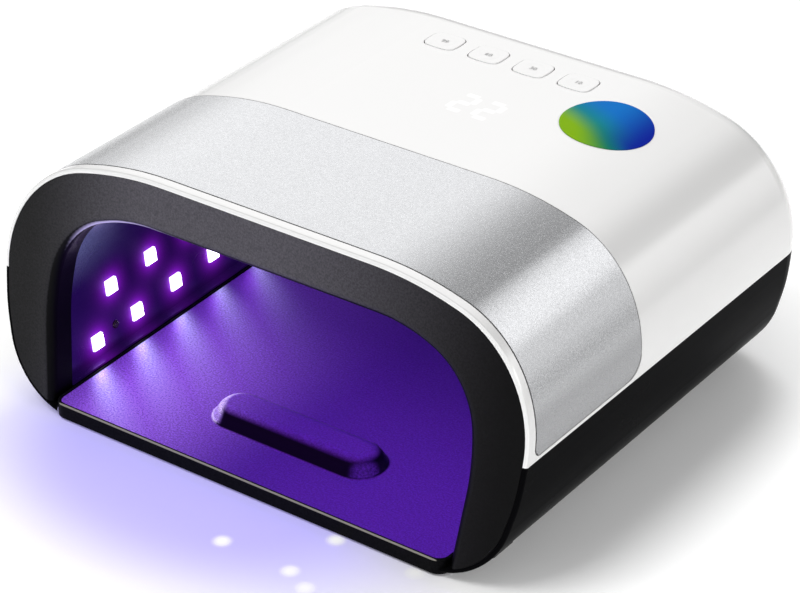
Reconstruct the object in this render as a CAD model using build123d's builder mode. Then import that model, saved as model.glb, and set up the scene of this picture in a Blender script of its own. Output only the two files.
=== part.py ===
from build123d import *
import math
import os

# A table-top lamp that cures nail varnish. X runs across the mouth, Y runs
# back from it and Z is up. The origin is on the table, under the middle of the
# lamp. The housing stands over a loose base tray, to which magnets hold it.

# Overall size
WIDTH = 225.0
DEPTH = 191.0
HEIGHT = 100.8
FRONT_LEAN = 9.7
REAR_RADIUS = 12.0
FOOT_STAND = 1.2
RUN_PAST = 20.0

# Section of the body: the corners of its right half, each with its radius
CROWN_INSET = 50.8
SHOULDER_OUTSET = 2.5
SHOULDER_DROP = 14.0
WAIST_INSET = 1.3
WAIST_Z = 36.4
BASE_INSET = 10.2
BODY_RADII = (138.0, 44.0, 82.0, 31.7)

# Shells
WALL = 2.8
LIP = 1.6
LIP_RADIUS = 1.1
PARTING_Z = 50.0
SEAM = 0.15
TONGUE_HEIGHT = 1.2
TONGUE_INSET = 1.5
MERGE = 0.5
SIDE_FILL = 0.98

# Mouth and bezel; corners are given by how far they lie in from the side and down from the top
MOUTH_INSETS = ((53.8, 19.1), (26.2, 29.7), (22.1, 58.5))
MOUTH_FOOT_INSET = 26.3
MOUTH_RADII = (60.1, 29.8, 87.8)
MOUTH_ROUNDING = 3.6
BEZEL_DEPTH = 11.0
BEZEL_FACE = 2.6
BEZEL_WALL = 2.4
SKIRT_DEPTH = 3.4

# Silver band across the front of the upper shell
BAND_THICKNESS = 1.0
BAND_FRONT = 4.2
BAND_GROOVE = 0.6
BAND_BACK = 76.7
BAND_BACK_SLOPE = 0.2
BAND_ABOVE_PARTING = 1.5
BAND_FRONT_RADIUS = 3.5
BAND_BACK_RADIUS = 8.0

# Chamber, a mirror liner that widens towards the back
CHAMBER_INSETS = ((52.5, 18.6), (23.0, 29.3), (18.3, 58.8))
CHAMBER_FOOT_INSET = 23.5
CHAMBER_RADII = (60.0, 29.0, 68.0)
CHAMBER_FLARE = 4.0
CHAMBER_TO_BACK = 23.0
LINER_WALL = 1.0
LINER_GAP = 0.3

# Base ring and base tray
LEDGE_Z = 6.4
TRAY_TOP = 6.8
TRAY_FLOOR = 6.3
TRAY_UNDERSIDE = 1.0
TRAY_GAP = 0.5
TRAY_RADIUS = 5.0
TRAY_RIM = 3.2
TRAY_LIP = 1.1
TRAY_EDGE_RADIUS = 0.5
TRAY_WEB = 1.2
TRAY_BACK_INSET = 2.9
RIB_COUNT_X = 7
RIB_COUNT_Y = 5
RIB_PITCH = (22.0, 26.0)
RIB_WIDTH = 1.2
RIB_SETBACK = 0.6
PLATE_THICKNESS = 0.6
PLATE_GAP = 0.2
PAD_RADIUS = 5.0
PAD_HEIGHT = 1.6
PAD_WALL = 1.2
PAD_HALF = 60.0
PAD_INSET = 20.0
LINER_FLANGE = 0.8
REST_LENGTH = 73.0
REST_WIDTH = 21.0
REST_HEIGHT = 6.3
REST_TAPER = 29.0
REST_ROUNDING = 6.0
REST_FOOT_RADIUS = 1.6
REST_X = 1.5
REST_FROM_FRONT = 32.5

# Magnets in the housing and steel keepers in the tray, at its sides and its back
MAGNET_SIZE = (10.0, 1.4)
MAGNET_DEPTH = 1.4
KEEPER_DEPTH = 1.2
MAGNET_Z = 4.6
MAGNET_FROM_FRONT = 44.0
REAR_MAGNET_HALF = 50.0

# Lamps
LED_SIDE = 5.6
LED_HEIGHT = 1.9
WINDOW_SIDE = 6.2
LED_PITCH = 23.4
LED_ROWS = (13.6, 31.0)
LED_FIRST = (32.0, 43.6)
LED_RISE = 0.06
LEDS_PER_ROW = 5
LED_BOARD_THICKNESS = 1.2
LED_BOARD_FRONT = 26.0
LED_BOARD_BACK = 143.0
LED_BOARD_BOTTOM = 11.0
LED_BOARD_TOP = 41.0
TOP_LED_PITCH_X = 30.0
TOP_LED_PITCH_Y = 30.0
TOP_LED_COUNT = 4
TOP_LED_CENTRE = 82.0
TOP_BOARD_BORDER = 6.0
BOARD_SEAT = 0.2
LED_CHAMFER = 0.5
EYE_RADIUS = 1.5
EYE_FIT = 0.25
EYE_LENGTH = 2.0
EYE_ROUNDING = 0.9
EYE_SPOT = (43.0, 15.5)
PEG_RADIUS = 1.2
PEG_FIT = 0.1
PEG_HEIGHT = 2.4
SIDE_PEG_INSET = 4.0
TOP_PEG_INSET = 2.0

# Controls
BUTTON_COUNT = 4
BUTTON_PITCH = 19.7
BUTTON_TO_BACK = 26.0
BUTTON_SIZE = (12.5, 11.0)
BUTTON_BULGE = 0.6
BUTTON_CORNER = 3.0
BUTTON_GAP = 0.3
BUTTON_PROUD = 0.3
BUTTON_DISH = 0.2
DISH_RADIUS = 4.4
BUTTON_TRAVEL = 0.6
BUTTON_FLANGE = 1.2
FLANGE_HEIGHT = 1.0
STEM_RADIUS = 2.0
PLUNGER_RADIUS = 1.75
PLUNGER_OUT = 1.0
PLUNGER_IN = 1.2
PLUNGER_FIT = 0.08
SWITCH_SIDE = 6.2
SWITCH_HEIGHT = 3.4
FRAME_BORDER = 2.4
FRAME_DROP = 3.0
BOARD_DROP = 6.8
BOARD_THICKNESS = 1.6
BOARD_MARGIN = 8.3
BOARD_LENGTH = 74.0
BOARD_TO_BACK = 55.0
BOARD_RADIUS = 3.0
DISPLAY_SIZE = (24.0, 20.0)
DISPLAY_CLEAR = 0.4
DISPLAY_X = 10.2
DISPLAY_TO_BACK = 63.4
DIGIT_SIZE = (8.0, 14.5)
DIGIT_PITCH = 10.9
SEGMENT_WIDTH = 1.6
SEGMENT_GAP = 0.35
SEGMENT_DEPTH = 1.0

# Rear inlet
JACK_Z = 22.0
JACK_HOLE_RADIUS = 4.6
JACK_BARREL_RADIUS = 4.3
JACK_BORE_RADIUS = 2.85
JACK_BORE_DEPTH = 9.5
JACK_PIN_RADIUS = 1.0
JACK_RECESS = 0.3
JACK_BODY = (11.0, 12.0, 12.0)

# Posts and screws
POST_RADIUS = 3.6
WELL_RADIUS = 3.2
WELL_WALL = 1.4
WELL_TOP = 38.0
INNER_POST_HALF = 40.0
OUTER_POST_INSET = 28.5
POST_TO_BACK = 12.0
SCREW_RADIUS = 1.4
SCREW_HEAD_RADIUS = 2.7
SCREW_HEAD_HEIGHT = 2.0
SCREW_LENGTH = 24.0
SCREW_SLOT = 0.7
SCREW_CHAMFER = 0.2
SCREW_FIT = 0.08
SCREW_CLEARANCE = 0.3
SMALL_SCREW_RADIUS = 1.0
SMALL_HEAD_RADIUS = 1.9
SMALL_HEAD_HEIGHT = 1.3
SMALL_SCREW_LENGTH = 6.0
SMALL_POST_RADIUS = 2.4
LINER_POST_GAP = 6.0
LINER_POST_SPOTS = (34.0, 92.0)

# Rubber feet and the round sticker
FOOT_SIZE = (5.4, 14.0)
FOOT_RADIUS = 1.8
FOOT_TOP = 5.0
FOOT_INSET = 0.4
SIDE_FOOT_FROM_FRONT = 26.0
REAR_FOOT_INSET = 50.5
REAR_FOOT_TO_BACK = 17.0
STICKER_RADIUS = 17.0
STICKER_THICKNESS = 0.3
STICKER_FILM = 0.02
STICKER_INSET = 57.5
STICKER_TO_BACK = 47.0

# Values worked out from those above
HALF = WIDTH / 2
FRONT_Y = -DEPTH / 2
BACK_Y = DEPTH / 2
LEAN = math.radians(FRONT_LEAN)
MOUTH_CORNERS = [(HALF - inset, HEIGHT - drop) for inset, drop in MOUTH_INSETS]
MOUTH_FOOT_HALF = HALF - MOUTH_FOOT_INSET
MOUTH_TOP = MOUTH_CORNERS[0][1]
CHAMBER_CORNERS = [(HALF - inset, HEIGHT - drop) for inset, drop in CHAMBER_INSETS]
CHAMBER_FOOT_HALF = HALF - CHAMBER_FOOT_INSET
CHAMBER_TOP = CHAMBER_CORNERS[0][1]
CHAMBER_DEPTH = DEPTH - CHAMBER_TO_BACK
CHAMBER_BACK_Y = FRONT_Y + CHAMBER_DEPTH
TRAY_BACK_Y = CHAMBER_BACK_Y - TRAY_BACK_INSET
INNER_TOP = HEIGHT - WALL
BODY_MIDDLE = HEIGHT / 2
STAND = (Align.CENTER, Align.CENTER, Align.MIN)
HANG = (Align.CENTER, Align.CENTER, Align.MAX)
BOARD_TOP = INNER_TOP - BOARD_DROP
BOARD_UNDERSIDE = BOARD_TOP - BOARD_THICKNESS
FRAME_SIZE = [
    length + 2 * (BUTTON_FLANGE + BUTTON_GAP + FRAME_BORDER)
    for length in (BUTTON_PITCH * (BUTTON_COUNT - 1) + BUTTON_SIZE[0], BUTTON_SIZE[1])
]
BOARD_SIZE = (FRAME_SIZE[0] + 2 * BOARD_MARGIN, BOARD_LENGTH)
TOP_BOARD_Z = CHAMBER_TOP + LINER_WALL + BOARD_SEAT
FLANGE_TOP = INNER_TOP - SEAM
BUTTON_TOP = HEIGHT + BUTTON_PROUD
DISH_SPHERE = (DISH_RADIUS**2 + BUTTON_DISH**2) / (2 * BUTTON_DISH)
PLUNGER_TOP = BOARD_TOP + SWITCH_HEIGHT + PLUNGER_OUT
LINER_BOTTOM = LEDGE_Z + SEAM
BOARD_OUTSET = LINER_WALL + BOARD_SEAT
PLATE_UNDERSIDE = TRAY_FLOOR - PLATE_THICKNESS
TRAY_WEB_Z = PLATE_UNDERSIDE - TRAY_WEB
REST_Y = FRONT_Y + REST_FROM_FRONT
BODY_CORNERS = (
    (0, HEIGHT),
    (HALF - CROWN_INSET, HEIGHT),
    (HALF + SHOULDER_OUTSET, HEIGHT - SHOULDER_DROP),
    (HALF - WAIST_INSET, WAIST_Z),
    (HALF - BASE_INSET, FOOT_STAND),
    (0, FOOT_STAND),
)
SIDE_BOARD_SIZE = (
    LED_BOARD_BACK - LED_BOARD_FRONT,
    LED_BOARD_TOP - LED_BOARD_BOTTOM,
)
TOP_BOARD_SIZE = tuple(
    pitch * (TOP_LED_COUNT - 1) + 2 * TOP_BOARD_BORDER
    for pitch in (TOP_LED_PITCH_X, TOP_LED_PITCH_Y)
)
LINER_POST_HALF = TOP_BOARD_SIZE[0] / 2 + LINER_POST_GAP
SIDE_PEG_SPAN = SIDE_BOARD_SIZE[0] - 2 * SIDE_PEG_INSET
TOP_PEG_SPANS = [size - 2 * TOP_PEG_INSET for size in TOP_BOARD_SIZE]


def behind_front(distance):
    """The Y of a point that lies this far behind the front"""
    return FRONT_Y + distance


def upright(y):
    """A plane across the lamp at y, with its own x to the right and its own y up"""
    return Plane.XZ.offset(-y)


def front_plane(setback):
    """The leaning plane of the mouth, moved back into the lamp by setback"""
    outward = Vector(0, -math.cos(LEAN), math.sin(LEAN))
    return Plane(
        origin=Vector(0, FRONT_Y, 0) - outward * setback,
        x_dir=(1, 0, 0),
        z_dir=outward,
    )


def pulled_in(corners, inset):
    """The corners of the outline that lies inside another one by inset"""
    ways = [
        Vector(end[0] - start[0], end[1] - start[1]).normalized()
        for start, end in zip(corners, corners[1:])
    ]
    normals = [Vector(way.Y, -way.X) for way in ways]
    before = [normals[0], *normals]
    after = [*normals, normals[-1]]
    moves = [(a + b) * (inset / (1 + a.dot(b))) for a, b in zip(before, after)]
    return [(x + move.X, y + move.Y) for (x, y), move in zip(corners, moves)]


def fitting(corners, radii):
    """The radii of an outline's corners, smaller where a side is too short for its two"""
    sides = [
        Vector(end[0] - start[0], end[1] - start[1])
        for start, end in zip(corners, corners[1:])
    ]
    turns = [math.radians(a.get_angle(b)) for a, b in zip(sides, sides[1:])]
    reaches = [radius * math.tan(turn / 2) for radius, turn in zip(radii, turns)]
    shares = [
        min(1, SIDE_FILL * side.length / max(before + after, MERGE))
        for side, before, after in zip(sides, [0, *reaches], [*reaches, 0])
    ]
    return [radius * min(pair) for radius, *pair in zip(radii, shares, shares[1:])]


def arch(corners, radii, inset=0.0):
    """A closed face, symmetric about its middle, from the corners of its right half"""
    fitted = fitting(corners, radii)
    inner_radii = [max(radius - inset, 0) if radius else 0 for radius in fitted]
    with BuildSketch() as face:
        with BuildLine():
            FilletPolyline(*pulled_in(corners, inset), radius=inner_radii)
            mirror(about=Plane.YZ)
        make_face()
    return face.sketch


def body_section(inset=0.0):
    """The section of the body, pulled in all round by inset"""
    return arch(BODY_CORNERS, BODY_RADII, inset)


def open_arch(corners, foot_half, radii, flare=0.0, inset=0.0):
    """A tunnel section that runs on below the table, with its sides spread by flare"""
    outline = (
        (0, corners[0][1]),
        *((x + flare, z) for x, z in corners),
        (foot_half + flare, 0),
        (foot_half + flare, -RUN_PAST),
        (0, -RUN_PAST),
    )
    return arch(outline, (*radii, 0, 0), inset)


def mouth_section(inset=0.0):
    """The opening of the bezel"""
    return open_arch(MOUTH_CORNERS, MOUTH_FOOT_HALF, MOUTH_RADII, inset=inset)


def chamber_section(flare, inset=0.0):
    """The inside of the mirror chamber"""
    return open_arch(
        CHAMBER_CORNERS, CHAMBER_FOOT_HALF, CHAMBER_RADII, flare=flare, inset=inset
    )


def body_form(inset=0.0, setback=0.0, front_radius=0.0):
    """The outer form pulled in by inset, with its front face moved back by setback"""
    section = body_section(inset)
    with BuildPart() as form:
        with BuildSketch(upright(BACK_Y - inset)):
            add(section)
        extrude(amount=DEPTH + RUN_PAST)
        rear = form.faces().sort_by(Axis.Y)[-1]
        fillet(rear.edges(), radius=REAR_RADIUS - inset)
        split(bisect_by=front_plane(setback), keep=Keep.BOTTOM)
        if front_radius:
            face = form.faces().filter_by(front_plane(0)).sort_by(SortBy.AREA)[-1]
            fillet(face.edges(), radius=front_radius)
    return form.part


def front_slab(inset, setback, end):
    """The stretch of the body between two distances behind its front plane"""
    section = body_section(inset)
    with BuildPart() as slab:
        with BuildSketch(upright(FRONT_Y + HEIGHT)):
            add(section)
        extrude(amount=HEIGHT + RUN_PAST)
        split(bisect_by=front_plane(setback), keep=Keep.BOTTOM)
        split(bisect_by=front_plane(end), keep=Keep.TOP)
    return slab.part


def chamber_form(spread, back):
    """The chamber as a solid, grown all round by spread and ended at back"""
    reach = (back - FRONT_Y) / CHAMBER_DEPTH
    front_section = chamber_section(0, -spread)
    back_section = chamber_section(CHAMBER_FLARE * reach, -spread)
    with BuildPart() as form:
        with BuildSketch(upright(FRONT_Y)):
            add(front_section)
        with BuildSketch(upright(back)):
            add(back_section)
        loft(ruled=True)
    return form.part


def tray_half(y):
    """Half the tray's width at y: it clears the mouth and spreads with the chamber"""
    return MOUTH_FOOT_HALF - TRAY_GAP + CHAMBER_FLARE * (y - FRONT_Y) / CHAMBER_DEPTH


def tray_outline(spread=0.0):
    """The plan of the base tray, grown all round by spread"""
    corners = (
        (0, TRAY_BACK_Y),
        (tray_half(TRAY_BACK_Y), TRAY_BACK_Y),
        (tray_half(FRONT_Y), FRONT_Y),
        (0, FRONT_Y),
    )
    return arch(corners, (TRAY_RADIUS, TRAY_RADIUS), -spread)


def magnet_planes(outset=0.0):
    """Planes on the tray's right edge and on the right of its back edge, facing out"""
    y = behind_front(MAGNET_FROM_FRONT)
    along = Vector(CHAMBER_FLARE / CHAMBER_DEPTH, 1, 0)
    outward = along.cross(Vector(0, 0, 1)).normalized()
    side = Vector(tray_half(y), y, MAGNET_Z) + outward * outset
    rear = Vector(REAR_MAGNET_HALF, TRAY_BACK_Y + outset, MAGNET_Z)
    return [
        Plane(origin=side, x_dir=along, z_dir=outward),
        Plane(origin=rear, x_dir=(-1, 0, 0), z_dir=(0, 1, 0)),
    ]


def chamber_lean():
    """How far the chamber's side wall moves out for each unit of height"""
    waist_x, waist_z = CHAMBER_CORNERS[-1]
    return (waist_x - CHAMBER_FOOT_HALF) / waist_z


def chamber_wall_x(y, z):
    """The inside of the right chamber wall"""
    spread = CHAMBER_FLARE * (y - FRONT_Y) / CHAMBER_DEPTH
    return CHAMBER_FOOT_HALF + spread + chamber_lean() * z


def side_wall_plane(y, z, outset=0.0):
    """A plane on the right chamber wall at y and z, facing out, its own x running back"""
    along = Vector(CHAMBER_FLARE / CHAMBER_DEPTH, 1, 0)
    up = Vector(chamber_lean(), 0, 1)
    outward = along.cross(up).normalized()
    origin = Vector(chamber_wall_x(y, z), y, z) + outward * outset
    return Plane(origin=origin, x_dir=along, z_dir=outward)


def side_led_planes(outset):
    """The lamps on the right wall: two rows half a pitch apart, which rise to the back"""
    return [
        side_wall_plane(behind_front(first + way), row + LED_RISE * way, outset)
        for row, first in zip(LED_ROWS, LED_FIRST)
        for way in (LED_PITCH * step for step in range(LEDS_PER_ROW))
    ]


def post_spots():
    """The places along the back where the shells are screwed together"""
    y = BACK_Y - POST_TO_BACK
    halves = (INNER_POST_HALF, HALF - OUTER_POST_INSET)
    return [(side * half, y) for half in halves for side in (-1, 1)]


def board_spots():
    """The four screws of the control board"""
    inset = BOARD_RADIUS + SMALL_POST_RADIUS / 2
    half_x = BOARD_SIZE[0] / 2 - inset
    half_y = BOARD_SIZE[1] / 2 - inset
    middle = BACK_Y - BOARD_TO_BACK
    return [(x, middle + y) for x in (-half_x, half_x) for y in (-half_y, half_y)]


def button_spots():
    """The middles of the buttons, in a row across the top"""
    first = -BUTTON_PITCH * (BUTTON_COUNT - 1) / 2
    y = BACK_Y - BUTTON_TO_BACK
    return [(first + BUTTON_PITCH * place, y) for place in range(BUTTON_COUNT)]


def button_outline(spread=0.0):
    """A rectangle with bulged sides and round corners, grown all round by spread"""
    half_x, half_y = BUTTON_SIZE[0] / 2 + spread, BUTTON_SIZE[1] / 2 + spread
    corners = [(-half_x, -half_y), (half_x, -half_y), (half_x, half_y), (-half_x, half_y)]
    bulges = [
        (0, -half_y - BUTTON_BULGE),
        (half_x + BUTTON_BULGE, 0),
        (0, half_y + BUTTON_BULGE),
        (-half_x - BUTTON_BULGE, 0),
    ]
    with BuildSketch() as outline:
        with BuildLine():
            for start, middle, end in zip(corners, bulges, corners[1:] + corners[:1]):
                ThreePointArc(start, middle, end)
        make_face()
        fillet(outline.vertices(), radius=BUTTON_CORNER + spread)
    return outline.sketch


def band_profile(spread, front):
    """The band seen from the side, grown by spread, with its front edge at front"""
    bottom = PARTING_Z + BAND_ABOVE_PARTING - spread
    top = HEIGHT + RUN_PAST
    slant = math.tan(LEAN)
    edge = FRONT_Y + front / math.cos(LEAN)
    back = FRONT_Y + BAND_BACK + spread
    with BuildSketch(Plane.YZ) as profile:
        with BuildLine():
            FilletPolyline(
                (edge + slant * top, top),
                (edge + slant * bottom, bottom),
                (back, bottom),
                (back + BAND_BACK_SLOPE * (top - bottom), top),
                radius=(0, BAND_FRONT_RADIUS, BAND_BACK_RADIUS, 0),
                close=True,
            )
        make_face()
    return profile.sketch


def band_form(thickness, spread, front):
    """A skin over the shoulders, from the outer surface down by thickness"""
    with BuildPart() as skin:
        with BuildSketch(Plane.YZ):
            add(Plane.YZ.to_local_coords(band_profile(spread, front)))
        extrude(amount=HALF + RUN_PAST, both=True)
        add(body_form(), mode=Mode.INTERSECT)
        add(body_form(thickness), mode=Mode.SUBTRACT)
    return skin.part


def screws(spots, seat, radius, head_radius, head_height, length, slot):
    """Cross-head screws that stand with their heads down under the height seat"""
    with BuildPart() as group:
        for x, y in spots:
            with Locations((x, y, seat)):
                Cylinder(radius, length, align=(Align.CENTER, Align.CENTER, Align.MIN))
                Cylinder(
                    head_radius,
                    head_height,
                    align=(Align.CENTER, Align.CENTER, Align.MAX),
                )
            with Locations((x, y, seat - head_height)):
                for turn in (0, 90):
                    Box(
                        2 * head_radius - slot,
                        slot,
                        head_height,
                        rotation=(0, 0, turn),
                        mode=Mode.SUBTRACT,
                    )
        chamfer(
            group.edges()
            .filter_by(GeomType.CIRCLE)
            .filter_by(lambda edge: abs(edge.center().Z - seat + head_height) < MERGE)
            .filter_by(lambda edge: edge.radius > head_radius - slot),
            length=SCREW_CHAMFER,
        )
    return group.part


def top_led_spots():
    """The lamps over the chamber, in a square grid"""
    span = (TOP_LED_COUNT - 1) / 2
    middle = behind_front(TOP_LED_CENTRE)
    return [
        ((column - span) * TOP_LED_PITCH_X, middle + (row - span) * TOP_LED_PITCH_Y)
        for column in range(TOP_LED_COUNT)
        for row in range(TOP_LED_COUNT)
    ]


def side_board_middle(outset):
    """The plane on which the right lamp board lies"""
    y = behind_front((LED_BOARD_FRONT + LED_BOARD_BACK) / 2)
    return side_wall_plane(y, (LED_BOARD_BOTTOM + LED_BOARD_TOP) / 2, outset)


def digit_segments(spread=0.0):
    """The seven bars of one figure, each drawn smaller or larger by spread"""
    width, height = DIGIT_SIZE[0] - SEGMENT_WIDTH, DIGIT_SIZE[1] - SEGMENT_WIDTH
    across = width - SEGMENT_WIDTH - 2 * SEGMENT_GAP
    upright_length = height / 2 - SEGMENT_WIDTH - 2 * SEGMENT_GAP
    with BuildSketch() as bars:
        with Locations((0, -height / 2), (0, 0), (0, height / 2)):
            Rectangle(across + spread, SEGMENT_WIDTH + spread)
        with GridLocations(width, height / 2, 2, 2):
            Rectangle(SEGMENT_WIDTH + spread, upright_length + spread)
    return bars.sketch


def digit_spots():
    """The middles of the two figures"""
    y = BACK_Y - DISPLAY_TO_BACK
    return [(DISPLAY_X + side * DIGIT_PITCH / 2, y) for side in (-1, 1)]


def pad_spots():
    """The middles of the pads under the tray"""
    ends = (FRONT_Y + PAD_INSET, TRAY_BACK_Y - PAD_INSET)
    return [(side * PAD_HALF, y) for side in (-1, 1) for y in ends]


def rest_form(drop):
    """The palm rest as a solid with sloped sides, lowered and thinned by drop"""
    with BuildPart() as form:
        with BuildSketch(Plane.XY.offset(TRAY_FLOOR - drop)):
            with Locations((REST_X, REST_Y)):
                SlotOverall(REST_LENGTH - 2 * drop, REST_WIDTH - 2 * drop)
        extrude(amount=REST_HEIGHT, taper=REST_TAPER)
        top = form.faces().sort_by(Axis.Z)[-1]
        fillet(top.edges(), radius=REST_ROUNDING)
    return form.part


# Forms that several pieces share
outer_form = body_form(front_radius=LIP_RADIUS)
inner_form = body_form(WALL, -RUN_PAST)
core_form = body_form(WALL - MERGE, -RUN_PAST)
bezel_seat = front_slab(LIP, -RUN_PAST, SKIRT_DEPTH + SEAM)
liner_outer = chamber_form(LINER_WALL, CHAMBER_BACK_Y + LINER_WALL)
liner_inner = chamber_form(0, CHAMBER_BACK_Y)
liner_room = chamber_form(
    LINER_WALL + LINER_GAP, CHAMBER_BACK_Y + LINER_WALL + LINER_GAP
)
# Upper shell
with BuildPart() as upper_posts:
    for spot in post_spots():
        with Locations((*spot, PARTING_Z)):
            Cylinder(POST_RADIUS, HEIGHT, align=STAND)
    for spot in board_spots():
        with Locations((*spot, BOARD_TOP)):
            Cylinder(SMALL_POST_RADIUS, HEIGHT, align=STAND)
    for distance in LINER_POST_SPOTS:
        for side in (-1, 1):
            with Locations((side * LINER_POST_HALF, behind_front(distance), BODY_MIDDLE)):
                Cylinder(SMALL_POST_RADIUS, HEIGHT, align=STAND)
    add(core_form, mode=Mode.INTERSECT)
    add(liner_room, mode=Mode.SUBTRACT)
    for spot in post_spots():
        with Locations((*spot, PARTING_Z)):
            Cylinder(
                SCREW_RADIUS + SCREW_FIT,
                WELL_TOP + SCREW_LENGTH - PARTING_Z + MERGE,
                align=STAND,
                mode=Mode.SUBTRACT,
            )
    for spot in board_spots():
        with Locations((*spot, BOARD_TOP)):
            Cylinder(
                SMALL_SCREW_RADIUS + SCREW_FIT,
                SMALL_SCREW_LENGTH - BOARD_THICKNESS + MERGE,
                align=STAND,
                mode=Mode.SUBTRACT,
            )

groove_form = body_form(TONGUE_INSET, SKIRT_DEPTH + WALL)
with BuildPart() as tongue_room:
    add(groove_form)
    split(bisect_by=Plane.XY.offset(PARTING_Z - MERGE), keep=Keep.TOP)
    split(
        bisect_by=Plane.XY.offset(PARTING_Z + TONGUE_HEIGHT + SEAM), keep=Keep.BOTTOM
    )

band_room = band_form(BAND_THICKNESS + SEAM, SEAM, BAND_FRONT - BAND_GROOVE)
hole_outline = button_outline(BUTTON_GAP)
with BuildPart() as upper_shell:
    add(outer_form)
    add(inner_form, mode=Mode.SUBTRACT)
    add(bezel_seat, mode=Mode.SUBTRACT)
    add(band_room, mode=Mode.SUBTRACT)
    split(bisect_by=Plane.XY.offset(PARTING_Z), keep=Keep.TOP)
    add(tongue_room.part, mode=Mode.SUBTRACT)
    add(upper_posts.part)
    with BuildSketch(Plane.XY.offset(HEIGHT)):
        with Locations(*button_spots()):
            add(hole_outline)
    extrude(amount=-2 * WALL, mode=Mode.SUBTRACT)

# Silver band
band_skin = band_form(BAND_THICKNESS, 0, BAND_FRONT)
with BuildPart() as front_band:
    add(band_skin)

# Bezel, hollow from behind
bezel_ring = body_section(LIP + SEAM)
mouth = mouth_section()
pocket_ring = body_section(LIP + SEAM + BEZEL_WALL)
pocket_mouth = mouth_section(-BEZEL_WALL)
with BuildPart() as bezel_pocket:
    with BuildSketch(upright(FRONT_Y + HEIGHT)):
        add(pocket_ring)
        add(pocket_mouth, mode=Mode.SUBTRACT)
    extrude(amount=HEIGHT + RUN_PAST)
    split(bisect_by=front_plane(BEZEL_FACE), keep=Keep.BOTTOM)

skirt_band = front_slab(-RUN_PAST, SKIRT_DEPTH, BEZEL_DEPTH + RUN_PAST)
skirt_core = front_slab(WALL + SEAM, SKIRT_DEPTH - RUN_PAST, BEZEL_DEPTH + 2 * RUN_PAST)
with BuildPart() as skirt_trim:
    add(skirt_band)
    add(skirt_core, mode=Mode.SUBTRACT)

with BuildPart() as front_bezel:
    with BuildSketch(upright(FRONT_Y + HEIGHT)):
        add(bezel_ring)
        add(mouth, mode=Mode.SUBTRACT)
    extrude(amount=HEIGHT + RUN_PAST)
    split(bisect_by=front_plane(0), keep=Keep.BOTTOM)
    split(bisect_by=front_plane(BEZEL_DEPTH), keep=Keep.TOP)
    face = front_bezel.faces().filter_by(front_plane(0)).sort_by(Axis.Y)[0]
    rim = face.edges().filter_by(
        lambda edge: abs(edge.center().X) < MOUTH_CORNERS[-1][0]
        and FOOT_STAND + WALL < edge.center().Z < MOUTH_TOP + MERGE
    )
    fillet(rim, radius=MOUTH_ROUNDING)
    add(bezel_pocket.part, mode=Mode.SUBTRACT)
    add(skirt_trim.part, mode=Mode.SUBTRACT)

# Lower shell
tray_plan = tray_outline()
tray_room = tray_outline(TRAY_GAP)
with BuildPart() as magnets_right:
    for plane in magnet_planes(TRAY_GAP + SEAM):
        with BuildSketch(plane):
            Rectangle(*MAGNET_SIZE)
    extrude(amount=MAGNET_DEPTH)

with BuildPart() as magnet_pockets:
    for plane in magnet_planes():
        with BuildSketch(plane):
            Rectangle(MAGNET_SIZE[0] + 2 * SEAM, MAGNET_SIZE[1] + 2 * SEAM)
    extrude(amount=TRAY_GAP + MAGNET_DEPTH + 2 * SEAM)

with BuildPart() as housing_magnets:
    add(magnets_right.part)
    mirror(magnets_right.part, about=Plane.YZ)

with BuildPart() as rubber_feet:
    y = behind_front(SIDE_FOOT_FROM_FRONT)
    x = tray_half(y) + TRAY_GAP + FOOT_INSET + FOOT_SIZE[0] / 2
    with Locations((x, y, 0), (-x, y, 0)):
        Box(FOOT_SIZE[0], FOOT_SIZE[1], FOOT_TOP, align=STAND)
    x, y = HALF - REAR_FOOT_INSET, BACK_Y - REAR_FOOT_TO_BACK
    with Locations((x, y, 0), (-x, y, 0)):
        Box(FOOT_SIZE[1], FOOT_SIZE[0], FOOT_TOP, align=STAND)
    fillet(rubber_feet.edges().filter_by(Axis.Z), radius=FOOT_RADIUS)

body_inside = body_form(MERGE)
tongue_form = body_form(TONGUE_INSET + SEAM, SKIRT_DEPTH + WALL + SEAM)
ring_form = body_form(WALL - MERGE, BEZEL_DEPTH + SEAM)
with BuildPart() as lower_posts:
    for spot in post_spots():
        with Locations((*spot, 0)):
            Cylinder(WELL_RADIUS + WELL_WALL, PARTING_Z, align=STAND)
    jack_back = BACK_Y - WALL - SEAM
    with Locations((0, jack_back, FOOT_STAND)):
        Box(
            JACK_BODY[0],
            JACK_BODY[1],
            JACK_Z - JACK_BODY[2] / 2 - FOOT_STAND,
            align=(Align.CENTER, Align.MAX, Align.MIN),
        )
    add(body_inside, mode=Mode.INTERSECT)

with BuildPart() as tongue:
    add(tongue_form)
    add(inner_form, mode=Mode.SUBTRACT)
    split(bisect_by=Plane.XY.offset(PARTING_Z - TONGUE_HEIGHT), keep=Keep.TOP)
    split(bisect_by=Plane.XY.offset(PARTING_Z + TONGUE_HEIGHT), keep=Keep.BOTTOM)

with BuildPart() as base_ring:
    add(ring_form)
    split(bisect_by=Plane.XY.offset(LEDGE_Z), keep=Keep.BOTTOM)

with BuildPart() as liner_clearance:
    add(liner_room)
    split(bisect_by=Plane.XY.offset(LEDGE_Z), keep=Keep.TOP)

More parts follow.
